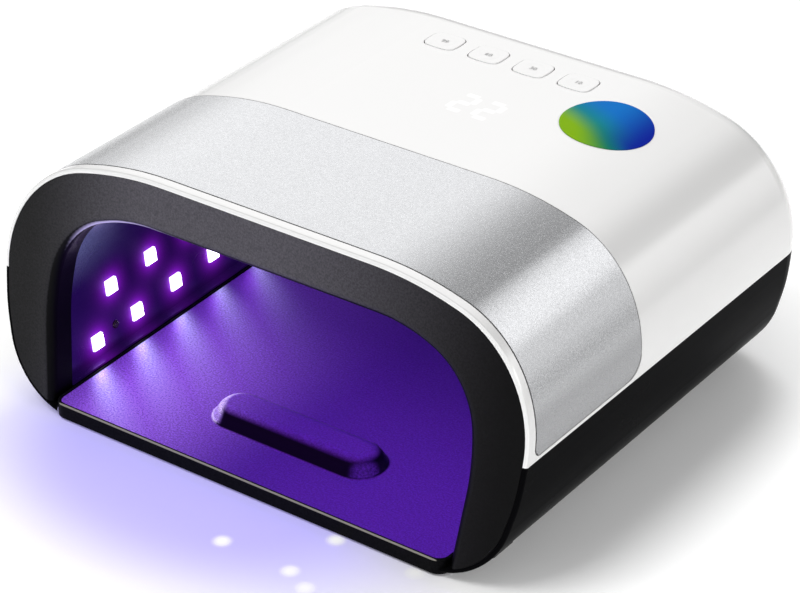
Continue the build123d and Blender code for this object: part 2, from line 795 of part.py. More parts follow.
with BuildPart() as lower_shell:
    add(outer_form)
    add(inner_form, mode=Mode.SUBTRACT)
    add(bezel_seat, mode=Mode.SUBTRACT)
    split(bisect_by=Plane.XY.offset(PARTING_Z), keep=Keep.BOTTOM)
    add(base_ring.part)
    with BuildSketch(Plane.XY):
        add(tray_room)
    extrude(amount=TRAY_TOP + RUN_PAST, mode=Mode.SUBTRACT)
    add(liner_clearance.part, mode=Mode.SUBTRACT)
    add(lower_posts.part)
    add(tongue.part)
    for spot in post_spots():
        with Locations((*spot, 0)):
            Cylinder(WELL_RADIUS, WELL_TOP, align=STAND, mode=Mode.SUBTRACT)
            Cylinder(
                SCREW_RADIUS + SCREW_CLEARANCE,
                PARTING_Z,
                align=STAND,
                mode=Mode.SUBTRACT,
            )
    with Locations(Plane(origin=(0, BACK_Y, JACK_Z), z_dir=(0, 1, 0))):
        Cylinder(JACK_HOLE_RADIUS, 2 * WALL + SEAM, mode=Mode.SUBTRACT)
    add(magnet_pockets.part, mode=Mode.SUBTRACT)
    mirror(magnet_pockets.part, about=Plane.YZ, mode=Mode.SUBTRACT)
    add(rubber_feet.part, mode=Mode.SUBTRACT)

# Mirror liner of the chamber, with a window for each lamp
with BuildPart() as side_windows:
    for plane in side_led_planes(-LINER_WALL):
        with BuildSketch(plane):
            Rectangle(WINDOW_SIDE, WINDOW_SIDE)
    with BuildSketch(
        side_wall_plane(behind_front(EYE_SPOT[0]), EYE_SPOT[1], -LINER_WALL)
    ):
        Circle(EYE_RADIUS + EYE_FIT)
    extrude(amount=3 * LINER_WALL)

with BuildPart() as liner_flange:
    add(liner_outer)
    split(bisect_by=front_plane(BEZEL_DEPTH + SEAM), keep=Keep.BOTTOM)
    split(bisect_by=Plane.XY.offset(LINER_BOTTOM), keep=Keep.TOP)
    split(bisect_by=Plane.XY.offset(LINER_BOTTOM + LINER_FLANGE), keep=Keep.BOTTOM)
    with BuildSketch(Plane.XY):
        add(tray_room)
    extrude(amount=TRAY_TOP + RUN_PAST, mode=Mode.SUBTRACT)

with BuildPart() as side_pegs:
    with BuildSketch(side_board_middle(LINER_WALL / 2)):
        with GridLocations(SIDE_PEG_SPAN, 0, 2, 1):
            Circle(PEG_RADIUS)
    extrude(amount=PEG_HEIGHT)

with BuildPart() as top_pegs:
    with BuildSketch(Plane.XY.offset(CHAMBER_TOP + LINER_WALL / 2 + PEG_HEIGHT)):
        with Locations((0, behind_front(TOP_LED_CENTRE))):
            with GridLocations(*TOP_PEG_SPANS, 2, 2):
                Circle(PEG_RADIUS)
    extrude(amount=-2 * PEG_HEIGHT)
    add(liner_inner, mode=Mode.SUBTRACT)

with BuildPart() as reflector:
    add(liner_outer)
    add(liner_inner, mode=Mode.SUBTRACT)
    split(bisect_by=front_plane(BEZEL_DEPTH + SEAM), keep=Keep.BOTTOM)
    split(bisect_by=Plane.XY.offset(LINER_BOTTOM), keep=Keep.TOP)
    add(liner_flange.part)
    add(side_windows.part, mode=Mode.SUBTRACT)
    mirror(side_windows.part, about=Plane.YZ, mode=Mode.SUBTRACT)
    with Locations(*((x, y, CHAMBER_TOP) for x, y in top_led_spots())):
        Box(WINDOW_SIDE, WINDOW_SIDE, 3 * LINER_WALL, mode=Mode.SUBTRACT)
    add(side_pegs.part)
    mirror(side_pegs.part, about=Plane.YZ)
    add(top_pegs.part)

# Lamp boards and lamps
with BuildPart() as led_board_right:
    with BuildSketch(side_board_middle(BOARD_OUTSET)):
        RectangleRounded(*SIDE_BOARD_SIZE, radius=BOARD_RADIUS)
        with GridLocations(SIDE_PEG_SPAN, 0, 2, 1):
            Circle(PEG_RADIUS + PEG_FIT, mode=Mode.SUBTRACT)
    extrude(amount=LED_BOARD_THICKNESS)

with BuildPart() as led_chips_right:
    for plane in side_led_planes(BOARD_OUTSET):
        with BuildSketch(plane):
            Rectangle(LED_SIDE, LED_SIDE)
    extrude(amount=-LED_HEIGHT)

with BuildPart() as ir_receiver:
    with BuildSketch(
        side_wall_plane(behind_front(EYE_SPOT[0]), EYE_SPOT[1], BOARD_OUTSET)
    ):
        Circle(EYE_RADIUS)
    extrude(amount=-EYE_LENGTH)
    fillet(ir_receiver.edges().sort_by(Axis.X)[0], radius=EYE_ROUNDING)

with BuildPart() as led_board_left:
    mirror(led_board_right.part, about=Plane.YZ)

with BuildPart() as led_chips_left:
    mirror(led_chips_right.part, about=Plane.YZ)

with BuildPart() as ir_emitter:
    mirror(ir_receiver.part, about=Plane.YZ)

with BuildPart() as led_board_top:
    with BuildSketch(Plane.XY.offset(TOP_BOARD_Z)):
        with Locations((0, behind_front(TOP_LED_CENTRE))):
            RectangleRounded(*TOP_BOARD_SIZE, radius=BOARD_RADIUS)
            with GridLocations(*TOP_PEG_SPANS, 2, 2):
                Circle(PEG_RADIUS + PEG_FIT, mode=Mode.SUBTRACT)
    extrude(amount=LED_BOARD_THICKNESS)

with BuildPart() as led_chips_top:
    with Locations(*((x, y, TOP_BOARD_Z) for x, y in top_led_spots())):
        Box(LED_SIDE, LED_SIDE, LED_HEIGHT, align=HANG)
    chamfer(led_chips_top.faces().group_by(Axis.Z)[0].edges(), length=LED_CHAMFER)

# Control board, its switches and the display
with BuildPart() as control_board:
    with BuildSketch(Plane.XY.offset(BOARD_UNDERSIDE)):
        with Locations((0, BACK_Y - BOARD_TO_BACK)):
            RectangleRounded(*BOARD_SIZE, radius=BOARD_RADIUS)
        with Locations(*board_spots()):
            Circle(SMALL_SCREW_RADIUS + SCREW_CLEARANCE, mode=Mode.SUBTRACT)
    extrude(amount=BOARD_THICKNESS)

with BuildPart() as tact_switches:
    for spot in button_spots():
        with Locations((*spot, BOARD_TOP)):
            Box(SWITCH_SIDE, SWITCH_SIDE, SWITCH_HEIGHT, align=STAND)
        with Locations((*spot, BOARD_TOP + SWITCH_HEIGHT)):
            Cylinder(
                PLUNGER_RADIUS + PLUNGER_FIT,
                PLUNGER_IN + BUTTON_TRAVEL + SEAM,
                align=HANG,
                mode=Mode.SUBTRACT,
            )

flange_room = button_outline(BUTTON_FLANGE + BUTTON_GAP)
with BuildPart() as button_frame:
    with BuildSketch(Plane.XY.offset(INNER_TOP)):
        with Locations((0, BACK_Y - BUTTON_TO_BACK)):
            RectangleRounded(*FRAME_SIZE, radius=BUTTON_CORNER)
        with Locations(*button_spots()):
            add(flange_room, mode=Mode.SUBTRACT)
    extrude(amount=-FRAME_DROP)

bars = digit_segments()
bar_rooms = digit_segments(SEAM)
with BuildPart() as display_module:
    display_top = INNER_TOP - DISPLAY_CLEAR
    with Locations((DISPLAY_X, BACK_Y - DISPLAY_TO_BACK, BOARD_TOP)):
        Box(*DISPLAY_SIZE, display_top - BOARD_TOP, align=STAND)
    with BuildSketch(Plane.XY.offset(display_top)):
        with Locations(*digit_spots()):
            add(bar_rooms)
    extrude(amount=-SEGMENT_DEPTH, mode=Mode.SUBTRACT)

with BuildPart() as display_bars:
    with BuildSketch(Plane.XY.offset(display_top - SEGMENT_DEPTH)):
        with Locations(*digit_spots()):
            add(bars)
    extrude(amount=SEGMENT_DEPTH)

# Buttons, each on the plunger of its switch
cap_outline = button_outline()
flange_outline = button_outline(BUTTON_FLANGE)
buttons, plungers = [], []
for spot in button_spots():
    with BuildPart() as button:
        with BuildSketch(Plane.XY.offset(FLANGE_TOP - FLANGE_HEIGHT)):
            with Locations(spot):
                add(cap_outline)
        extrude(amount=BUTTON_TOP - FLANGE_TOP + FLANGE_HEIGHT)
        fillet(button.faces().sort_by(Axis.Z)[-1].edges(), radius=BUTTON_PROUD)
        with Locations((*spot, BUTTON_TOP + DISH_SPHERE - BUTTON_DISH)):
            Sphere(DISH_SPHERE, mode=Mode.SUBTRACT)
        with BuildSketch(Plane.XY.offset(FLANGE_TOP - FLANGE_HEIGHT)):
            with Locations(spot):
                add(flange_outline)
        extrude(amount=FLANGE_HEIGHT)
        with Locations((*spot, PLUNGER_TOP)):
            Cylinder(
                STEM_RADIUS, FLANGE_TOP - FLANGE_HEIGHT - PLUNGER_TOP, align=STAND
            )
    buttons.append(button.part)
    with BuildPart() as plunger:
        with Locations((*spot, PLUNGER_TOP)):
            Cylinder(PLUNGER_RADIUS, PLUNGER_OUT + PLUNGER_IN, align=HANG)
    plungers.append(plunger.part)

# Rear inlet
with BuildPart() as dc_jack:
    with Locations((0, jack_back, JACK_Z)):
        Box(*JACK_BODY, align=(Align.CENTER, Align.MAX, Align.CENTER))
    back_face = Plane(origin=(0, BACK_Y - JACK_RECESS, JACK_Z), z_dir=(0, 1, 0))
    with Locations(back_face):
        Cylinder(JACK_BARREL_RADIUS, 2 * WALL, align=HANG)
        Cylinder(JACK_BORE_RADIUS, JACK_BORE_DEPTH, align=HANG, mode=Mode.SUBTRACT)
    with Locations(back_face.offset(-WALL)):
        Cylinder(JACK_PIN_RADIUS, JACK_BORE_DEPTH, align=HANG)

# Screws
shell_screws = screws(
    post_spots(),
    WELL_TOP,
    SCREW_RADIUS,
    SCREW_HEAD_RADIUS,
    SCREW_HEAD_HEIGHT,
    SCREW_LENGTH,
    SCREW_SLOT,
)
board_screws = screws(
    board_spots(),
    BOARD_UNDERSIDE,
    SMALL_SCREW_RADIUS,
    SMALL_HEAD_RADIUS,
    SMALL_HEAD_HEIGHT,
    SMALL_SCREW_LENGTH,
    SCREW_SLOT,
)

# Round sticker, which follows the crown of the shell
sticker_face = body_form(-STICKER_THICKNESS)
sticker_back = body_form(-STICKER_FILM)
with BuildPart() as round_sticker:
    with Locations((HALF - STICKER_INSET, BACK_Y - STICKER_TO_BACK, BODY_MIDDLE)):
        Cylinder(STICKER_RADIUS, HEIGHT, align=STAND)
    add(sticker_face, mode=Mode.INTERSECT)
    add(sticker_back, mode=Mode.SUBTRACT)

# Base tray: a black frame, a steel floor with its pressed palm rest, and pads
hollow_plan = tray_outline(-TRAY_RIM)
recess_plan = tray_outline(-TRAY_LIP)
plate_plan = tray_outline(-TRAY_LIP - PLATE_GAP)

with BuildPart() as keeper_pockets:
    for plane in magnet_planes(SEAM):
        with BuildSketch(plane):
            Rectangle(MAGNET_SIZE[0] + 2 * SEAM, MAGNET_SIZE[1] + 2 * SEAM)
    extrude(amount=-KEEPER_DEPTH - 2 * SEAM)

with BuildPart() as keepers_right:
    for plane in magnet_planes():
        with BuildSketch(plane):
            Rectangle(*MAGNET_SIZE)
    extrude(amount=-KEEPER_DEPTH)

with BuildPart() as keeper_plates:
    add(keepers_right.part)
    mirror(keepers_right.part, about=Plane.YZ)

with BuildPart() as tray_ribs:
    with BuildSketch(Plane.XY.offset(TRAY_UNDERSIDE + RIB_SETBACK)):
        with Locations((0, (FRONT_Y + TRAY_BACK_Y) / 2)):
            with GridLocations(RIB_PITCH[0], 0, RIB_COUNT_X, 1):
                Rectangle(RIB_WIDTH, DEPTH)
            with GridLocations(0, RIB_PITCH[1], 1, RIB_COUNT_Y):
                Rectangle(WIDTH, RIB_WIDTH)
        add(hollow_plan, mode=Mode.INTERSECT)
    extrude(amount=TRAY_WEB_Z - TRAY_UNDERSIDE - RIB_SETBACK)

with BuildPart() as tray_frame:
    with BuildSketch(Plane.XY.offset(TRAY_UNDERSIDE)):
        add(tray_plan)
    extrude(amount=TRAY_TOP - TRAY_UNDERSIDE)
    fillet(tray_frame.faces().sort_by(Axis.Z)[-1].edges(), radius=TRAY_EDGE_RADIUS)
    with BuildSketch(Plane.XY.offset(PLATE_UNDERSIDE)):
        add(recess_plan)
    extrude(amount=TRAY_TOP, mode=Mode.SUBTRACT)
    with BuildSketch(Plane.XY):
        add(hollow_plan)
    extrude(amount=TRAY_WEB_Z, mode=Mode.SUBTRACT)
    add(tray_ribs.part)
    with Locations(*((*spot, PAD_HEIGHT) for spot in pad_spots())):
        Cylinder(PAD_RADIUS + PAD_WALL, PLATE_UNDERSIDE - PAD_HEIGHT, align=STAND)
    add(keeper_pockets.part, mode=Mode.SUBTRACT)
    mirror(keeper_pockets.part, about=Plane.YZ, mode=Mode.SUBTRACT)

with BuildPart() as tray_pads:
    with Locations(*((*spot, 0) for spot in pad_spots())):
        Cylinder(PAD_RADIUS, PAD_HEIGHT, align=STAND)

rest_outside = rest_form(0)
rest_inside = rest_form(PLATE_THICKNESS)
with BuildPart() as tray_plate:
    with BuildSketch(Plane.XY.offset(PLATE_UNDERSIDE)):
        add(plate_plan)
    extrude(amount=PLATE_THICKNESS)
    add(rest_outside)
    foot = tray_plate.edges().filter_by(Plane.XY.offset(TRAY_FLOOR))
    fillet(
        foot.filter_by(lambda edge: abs(edge.center().Y - REST_Y) < REST_WIDTH),
        radius=REST_FOOT_RADIUS,
    )
    add(rest_inside, mode=Mode.SUBTRACT)

pieces = {
    "upper_shell": upper_shell.part,
    "lower_shell": lower_shell.part,
    "front_band": front_band.part,
    "front_bezel": front_bezel.part,
    "reflector": reflector.part,
    "led_board_left": led_board_left.part,
    "led_board_right": led_board_right.part,
    "led_board_top": led_board_top.part,
    "led_chips_left": led_chips_left.part,
    "led_chips_right": led_chips_right.part,
    "led_chips_top": led_chips_top.part,
    "ir_emitter": ir_emitter.part,
    "ir_receiver": ir_receiver.part,
    "control_board": control_board.part,
    "tact_switches": tact_switches.part,
    "button_frame": button_frame.part,
    "display_module": display_module.part,
    "display_bars": display_bars.part,
    "board_screws": board_screws,
    "shell_screws": shell_screws,
    "dc_jack": dc_jack.part,
    "housing_magnets": housing_magnets.part,
    "rubber_feet": rubber_feet.part,
    "round_sticker": round_sticker.part,
    "tray_frame": tray_frame.part,
    "tray_plate": tray_plate.part,
    "tray_pads": tray_pads.part,
    "keeper_plates": keeper_plates.part,
}
for place, (cap, plunger_part) in enumerate(zip(buttons, plungers), start=1):
    pieces[f"button_{place}"] = cap
    pieces[f"switch_plunger_{place}"] = plunger_part

os.makedirs("parts", exist_ok=True)
for name, piece in pieces.items():
    piece.label = name
    export_step(piece, f"parts/{name}.step")
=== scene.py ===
import math

import bmesh
import bpy
from mathutils import Matrix, Vector


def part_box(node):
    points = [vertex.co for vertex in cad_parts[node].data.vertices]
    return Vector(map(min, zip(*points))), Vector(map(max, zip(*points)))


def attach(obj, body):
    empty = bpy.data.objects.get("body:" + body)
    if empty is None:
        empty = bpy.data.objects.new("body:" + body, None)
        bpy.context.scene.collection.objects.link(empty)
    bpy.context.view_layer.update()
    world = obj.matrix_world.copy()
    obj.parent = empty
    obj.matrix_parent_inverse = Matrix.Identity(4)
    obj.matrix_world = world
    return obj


bl_info = {
    "name": "Nail Lamp Dressing",
    "version": (1, 0, 0),
    "blender": (4, 5, 0),
    "location": "View3D > Sidebar > Nail Lamp",
    "description": "Finishes, lenses, figures and a studio for the packed nail lamp",
    "category": "Object",
}

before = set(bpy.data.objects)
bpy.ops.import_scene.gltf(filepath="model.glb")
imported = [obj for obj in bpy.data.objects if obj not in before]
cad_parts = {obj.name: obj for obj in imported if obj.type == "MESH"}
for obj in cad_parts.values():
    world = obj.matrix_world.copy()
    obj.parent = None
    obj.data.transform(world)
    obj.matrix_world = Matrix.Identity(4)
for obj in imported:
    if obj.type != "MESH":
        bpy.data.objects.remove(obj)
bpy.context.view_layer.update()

MM = 0.001
SMOOTH_ANGLE = math.radians(35)
IMAGE_WIDTH = 800
SENSOR_WIDTH = 36.0

# Slant of the silver band's back edge, and radius of its two rear corners
BAND_SLOPE = 0.2
BAND_CORNER = 8 * MM

# Nodes of the lamp that share a finish, and for each wall of lamps its lenses and the way they face
WHITE_CAPS = ("button_1", "button_2", "button_3", "button_4")
CHIP_WALLS = {
    "led_chips_left": ("lenses_left", (1, 0, 0)),
    "led_chips_right": ("lenses_right", (-1, 0, 0)),
    "led_chips_top": ("lenses_top", (0, 0, -1)),
}

# Where the mouth's light is painted on the table: middle and half lengths of an ellipse, and small
# painted light spots
LIGHT_POOL = ((-0.020, -0.092), (0.112, 0.088))
LIGHT_SPOTS = (
    (0.0123, -0.1207),
    (0.0415, -0.1210),
    (0.0433, -0.0977),
    (0.0513, -0.1256),
    (0.0760, -0.0976),
)

# Lit bars of a seven-segment two by place: across from left, up from below, each 0 to 1
LIT_IN_TWO = ((0.5, 1.0), (1.0, 0.75), (0.5, 0.5), (0.0, 0.25), (0.5, 0.0))

# How far the light of a bar starts inside its edge, and how far it blurs beyond
BAR_INSET = 0.3 * MM
BAR_BLUR = 1.3 * MM

# Painted streaks of the lamps' reflection on the tray: slant, half width at the wall's foot, widening
# and length
STREAK_SLANT = 0.78
STREAK_FOOT = 3 * MM
STREAK_WIDENING = 0.22
STREAK_LENGTH = 15 * MM

# How far the chamber's own lights stand off the lamps of the roof and of the walls
OFF_ROOF = 2 * MM
OFF_WALL = 3 * MM

# Black for painted shade and grain pits, and the tones of painted light and shade on the housing and the
# tray's frame: the highlight on the tray's edge, the shade in the band's gap, the bezel's glowing rim
# and sheen, and the highlight on the white front lip
BLACK = (0.0, 0.0, 0.0, 1.0)
TRAY_EDGE_HIGHLIGHT = (0.30, 0.285, 0.25, 1.0)
SEAM_SHADE = (0.12, 0.12, 0.12, 1.0)
BEZEL_RIM_GLOW = (0.50, 0.44, 0.80, 1.0)
BEZEL_SHEEN = (10.5, 10.0, 11.2)
FRONT_LIP_HIGHLIGHT = 1.22

# Tones of the sheets in the chamber, and of the lamps' light, reflections, highlights and shade painted
# on them
LINER_DARK = (0.024, 0.007, 0.055, 1.0)
LINER_PALE = (0.058, 0.02, 0.12, 1.0)
LINER_CORNER_SHEEN = (0.11, 0.13, 0.26, 1.0)
SHEET_DARK = (0.10, 0.008, 0.28, 1.0)
SHEET_PALE = (0.21, 0.03, 0.50, 1.0)
SHEET_SLOPE_SHADE = (0.012, 0.003, 0.035, 1.0)
WALL_GLOW = (0.235, 0.080, 0.63, 1.0)
STREAK_GLINT = (0.74, 0.78, 1.3, 1.0)
RIM_HIGHLIGHT_FOOT = (0.24, 0.10, 0.66, 1.0)
RIM_HIGHLIGHT_TOP = (0.62, 0.46, 0.95, 1.0)
NOSE_HIGHLIGHT = (0.07, 0.012, 0.32, 1.0)

# The way that the painted highlight on the nose of the rest faces, and the dark patch in the room behind
NOSE_FACES = (0.68, -0.60, 0.42)
DARK_PATCH = (-0.50, 0.86, 0.08)


class LampShellFinish(bpy.types.PropertyGroup):
    """White, black and silver of the housing"""

    white: bpy.props.FloatVectorProperty(
        name="White", description="Upper shell and buttons", subtype="COLOR", size=3,
        default=(0.80, 0.795, 0.79), min=0, max=1,
    )
    # Painted shade where the crown turns into the sides
    shoulder: bpy.props.FloatProperty(
        name="Shoulder", description="Tone of the white where the crown turns into the sides",
        default=0.76, min=0, max=1,
    )
    # Painted shade on the white's upright sides
    side: bpy.props.FloatProperty(
        name="Side", description="Tone of the white on its upright sides",
        default=0.93, min=0, max=1,
    )
    black: bpy.props.FloatVectorProperty(
        name="Black", description="Lower shell and tray frame", subtype="COLOR", size=3,
        default=(0.0025, 0.0025, 0.003), min=0, max=1,
    )
    bezel: bpy.props.FloatVectorProperty(
        name="Bezel", description="Satin black round the mouth", subtype="COLOR", size=3,
        default=(0.011, 0.011, 0.0115), min=0, max=1,
    )
    silver: bpy.props.FloatVectorProperty(
        name="Silver", description="Metallic paint of the band", subtype="COLOR", size=3,
        default=(0.61, 0.615, 0.63), min=0, max=1,
    )
    # Painted shade on the band's upright sides
    flank: bpy.props.FloatProperty(
        name="Flank", description="Tone of the silver on its upright sides",
        default=0.52, min=0, max=1,
    )
    flake: bpy.props.FloatProperty(
        name="Flake", description="Size of a metal flake in the paint", unit="LENGTH",
        default=0.0004, min=0.00005, max=0.005, precision=5,
    )


class LampGlow(bpy.types.PropertyGroup):
    """Light of the lamps in the chamber"""

    violet: bpy.props.FloatVectorProperty(
        name="Violet", description="Colour that the lamps give the chamber", subtype="COLOR",
        size=3, default=(0.21, 0.045, 1.0), min=0, max=1,
    )
    halo: bpy.props.FloatVectorProperty(
        name="Halo", description="Colour of the ring of light round a lamp", subtype="COLOR",
        size=3, default=(0.42, 0.015, 1.0), min=0, max=1,
    )
    lens: bpy.props.FloatVectorProperty(
        name="Lens", description="Colour of a lit lens", subtype="COLOR",
        size=3, default=(0.80, 0.70, 1.0), min=0, max=1,
    )
    lens_strength: bpy.props.FloatProperty(
        name="Lens strength", description="Emission of a lit lens", default=6.5, min=0, max=100,
    )
    halo_radius: bpy.props.FloatProperty(
        name="Halo radius", description="Distance at which a halo has mostly faded",
        unit="LENGTH", default=0.0024, min=0.0005, max=0.05, precision=4,
    )
    roof_power: bpy.props.FloatProperty(
        name="Roof power", description="Light of the lamps over the hand", unit="POWER",
        default=0.03, min=0, max=10,
    )
    wall_power: bpy.props.FloatProperty(
        name="Wall power", description="Light of each row of lamps in a side wall",
        unit="POWER", default=0.004, min=0, max=10,
    )


class LampSticker(bpy.types.PropertyGroup):
    """Inks of the round sticker"""

    lime: bpy.props.FloatVectorProperty(
        name="Lime", description="Ink at the front left", subtype="COLOR", size=3,
        default=(0.19, 0.38, 0.0), min=0, max=1,
    )
    green: bpy.props.FloatVectorProperty(
        name="Green", description="Ink at the front", subtype="COLOR", size=3,
        default=(0.0, 0.18, 0.05), min=0, max=1,
    )
    teal: bpy.props.FloatVectorProperty(
        name="Teal", description="Ink in the middle", subtype="COLOR", size=3,
        default=(0.0, 0.20, 0.19), min=0, max=1,
    )
    blue: bpy.props.FloatVectorProperty(
        name="Blue", description="Ink at the back", subtype="COLOR", size=3,
        default=(0.0, 0.14, 0.48), min=0, max=1,
    )
    navy: bpy.props.FloatVectorProperty(
        name="Navy", description="Ink at the right", subtype="COLOR", size=3,
        default=(0.0, 0.01, 0.26), min=0, max=1,
    )


class LampFigures(bpy.types.PropertyGroup):
    """Figures on the buttons and in the display"""

    height: bpy.props.FloatProperty(
        name="Height", description="Height of the figures on the buttons", unit="LENGTH",
        default=0.0030, min=0.001, max=0.01, precision=4,
    )
    film: bpy.props.FloatProperty(
        name="Film", description="Thickness of the printed figures", unit="LENGTH",
        default=0.00002, min=0.00001, max=0.0005, precision=5,
    )
    ink: bpy.props.FloatVectorProperty(
        name="Ink", description="Grey of the printed figures", subtype="COLOR", size=3,
        default=(0.42, 0.42, 0.42), min=0, max=1,
    )
    glow: bpy.props.FloatProperty(
        name="Glow", description="Light of a lit bar where it shines through the shell",
        default=0.16, min=0, max=5,
    )


class LampStudio(bpy.types.PropertyGroup):
    """Camera, floor and lights"""

    camera_place: bpy.props.FloatVectorProperty(
        name="Camera place", description="Where the camera stands", subtype="XYZ",
        unit="LENGTH", size=3, default=(0.54278, -0.75554, 0.58453),
    )
    camera_yaw: bpy.props.FloatProperty(
        name="Camera yaw", description="Turn of the camera to the left of straight back",
        subtype="ANGLE", default=math.radians(35.708),
    )
    camera_pitch: bpy.props.FloatProperty(
        name="Camera pitch", description="How far the camera looks down",
        subtype="ANGLE", default=math.radians(30.619),
    )
    focal_pixels: bpy.props.FloatProperty(
        name="Focal length in pixels", description="For an image 800 pixels wide",
        default=2977.24, min=100,
    )
    floor: bpy.props.FloatVectorProperty(
        name="Floor", description="Colour of the table", subtype="COLOR", size=3,
        default=(0.94, 0.94, 0.94), min=0, max=1,
    )
    # Light added to the table: less beside the lamp, which paints shade round it
    floor_lift: bpy.props.FloatProperty(
        name="Floor lift", description="Light added to the table beside the lamp",
        default=0.04, min=0, max=1,
    )
    far_lift: bpy.props.FloatProperty(
        name="Far lift", description="Light added to the table away from the lamp",
        default=0.22, min=0, max=2,
    )
    # Painted pool of the mouth's light on the table
    pool: bpy.props.FloatVectorProperty(
        name="Pool", description="Colour of the table where the mouth throws its light",
        subtype="COLOR", size=3, default=(0.545, 0.505, 1.0), min=0, max=1,
    )
    pool_lift: bpy.props.FloatProperty(
        name="Pool lift", description="Light that the mouth throws on the table",
        default=0.24, min=0, max=2,
    )
    floor_size: bpy.props.FloatProperty(
        name="Floor size", description="Side of the table", unit="LENGTH", default=14.0,
    )
    key_power: bpy.props.FloatProperty(
        name="Key power", description="Each of the two softboxes overhead", unit="POWER",
        default=8.8,
    )
    fill_power: bpy.props.FloatProperty(
        name="Fill power", description="Low softbox on the right", unit="POWER", default=11.0,
    )
    band_power: bpy.props.FloatProperty(
        name="Band power", description="Softboxes that light the silver band alone",
        unit="POWER", default=1.85,
    )
    sky: bpy.props.FloatProperty(
        name="Sky", description="Brightness of the room overhead", default=0.3, min=0,
    )
    front: bpy.props.FloatProperty(
        name="Front", description="Brightness of the room in front", default=0.35, min=0,
    )
    left_wall: bpy.props.FloatProperty(
        name="Left wall", description="Brightness of the room behind on the left",
        default=1.03, min=0,
    )
    gap: bpy.props.FloatProperty(
        name="Gap", description="Brightness of the dark gap between the two bright walls",
        default=0.3, min=0,
    )
    right_wall: bpy.props.FloatProperty(
        name="Right wall", description="Brightness of the room behind on the right",
        default=1.0, min=0,
    )
    right_foot: bpy.props.FloatProperty(
        name="Right foot", description="Brightness of the foot of that wall",
        default=0.5, min=0,
    )


class LampSettings(bpy.types.PropertyGroup):
    """All that a user can change"""

    shell: bpy.props.PointerProperty(type=LampShellFinish)
    glow: bpy.props.PointerProperty(type=LampGlow)
    sticker: bpy.props.PointerProperty(type=LampSticker)
    figures: bpy.props.PointerProperty(type=LampFigures)
    studio: bpy.props.PointerProperty(type=LampStudio)


def settings():
    """The lamp's property groups"""
    return bpy.context.scene.lamp_settings


def rgba(color):
    """A colour with full alpha, as a shader's socket takes it"""
    return (*color, 1.0)


def toned(color, factor, most=math.inf):
    """A colour times a factor, with full alpha"""
    return rgba(min(c * factor, most) for c in color)


def feed(tree, socket, value):
    """Link a socket to another one, or set it to a plain value"""
    if isinstance(value, bpy.types.NodeSocket):
        tree.links.new(value, socket)
    else:
        socket.default_value = value


def node(tree, kind, inputs=None, **options):
    """A new node with its options made and its inputs set, or linked where they are sockets"""
    made = tree.nodes.new(kind)
    for name, value in options.items():
        setattr(made, name, value)
    for name, value in (inputs or {}).items():
        feed(tree, made.inputs[name], value)
    return made


def work_out(tree, operation, *values):
    """The result of one sum on sockets or numbers"""
    made = node(tree, "ShaderNodeMath", operation=operation)
    for socket, value in zip(made.inputs, values):
        feed(tree, socket, value)
    return made.outputs[0]


def chain(tree, operation, values):
    """Several sockets or numbers taken together by one operation, in their order"""
    result, *others = values
    for other in others:
        result = work_out(tree, operation, result, other)
    return result


def total(tree, *values):
    """The sum of several sockets or numbers"""
    return chain(tree, "ADD", values)


def product(tree, *values):
    """The product of several sockets or numbers"""
    return chain(tree, "MULTIPLY", values)


def largest(tree, *values):
    """The largest of several sockets or numbers"""
    return chain(tree, "MAXIMUM", values)


def weighed(tree, *pairs):
    """The sum of some sockets, each times its weight"""
    return total(tree, *(product(tree, value, weight) for value, weight in pairs))


def length_of(tree, *parts):
    """The length of a vector, given its parts"""
    return work_out(tree, "SQRT", total(tree, *(product(tree, part, part) for part in parts)))


def spread(tree, value, low, high, to_low=0.0, to_high=1.0):
    """A value stretched from one range to another, smoothly"""
    ends = {"From Min": low, "From Max": high, "To Min": to_low, "To Max": to_high}
    mapped = node(
        tree, "ShaderNodeMapRange", {"Value": value, **ends}, interpolation_type="SMOOTHSTEP"
    )
    return mapped.outputs["Result"]


def blend_numbers(tree, share, first, second):
    """Two numbers or sockets mixed by a share, which is a socket"""
    rest = work_out(tree, "SUBTRACT", 1.0, share)
    return weighed(tree, (first, rest), (second, share))


def blend_colors(tree, share, first, second):
    """Two colours mixed by a share, each of them a socket or a plain value"""
    mixed = node(tree, "ShaderNodeMix", {0: share}, data_type="RGBA", blend_type="MIX")
    feed(tree, mixed.inputs[6], first)
    feed(tree, mixed.inputs[7], second)
    return mixed.outputs[2]


def shader_of(material):
    """The main shader of a node material"""
    return next(n for n in material.node_tree.nodes if n.type == "BSDF_PRINCIPLED")


def start_material(name, **sockets):
    """A node material, its tree and its shader, with the shader's own sockets set"""
    material = bpy.data.materials.new(name)
    material.use_nodes = True
    shader = shader_of(material)
    for socket, value in sockets.items():
        shader.inputs[socket.replace("_", " ").title().replace("Ior", "IOR")].default_value = value
    return material, material.node_tree, shader


def plug(tree, shader, **sockets):
    """Link sockets into a shader"""
    for name, value in sockets.items():
        tree.links.new(value, shader.inputs[name.replace("_", " ").title()])


def object_place(tree):
    """The object's own coordinates, which are the lamp's frame in metres"""
    return node(tree, "ShaderNodeTexCoord").outputs["Object"]


def axes(tree, vector):
    """The X, Y and Z of a vector"""
    return node(tree, "ShaderNodeSeparateXYZ", {"Vector": vector}).outputs


def facing(tree):
    """The way that the surface faces"""
    return node(tree, "ShaderNodeNewGeometry").outputs["Normal"]


def toward(tree, direction):
    """How far the surface faces a direction, from -1 to 1"""
    inputs = {0: facing(tree), 1: direction}
    return node(tree, "ShaderNodeVectorMath", inputs, operation="DOT_PRODUCT").outputs["Value"]


def away_from(tree, place, point=(0, 0, 0)):
    """How far each place lies from a point"""
    inputs = {0: place, 1: point}
    return node(tree, "ShaderNodeVectorMath", inputs, operation="DISTANCE").outputs["Value"]


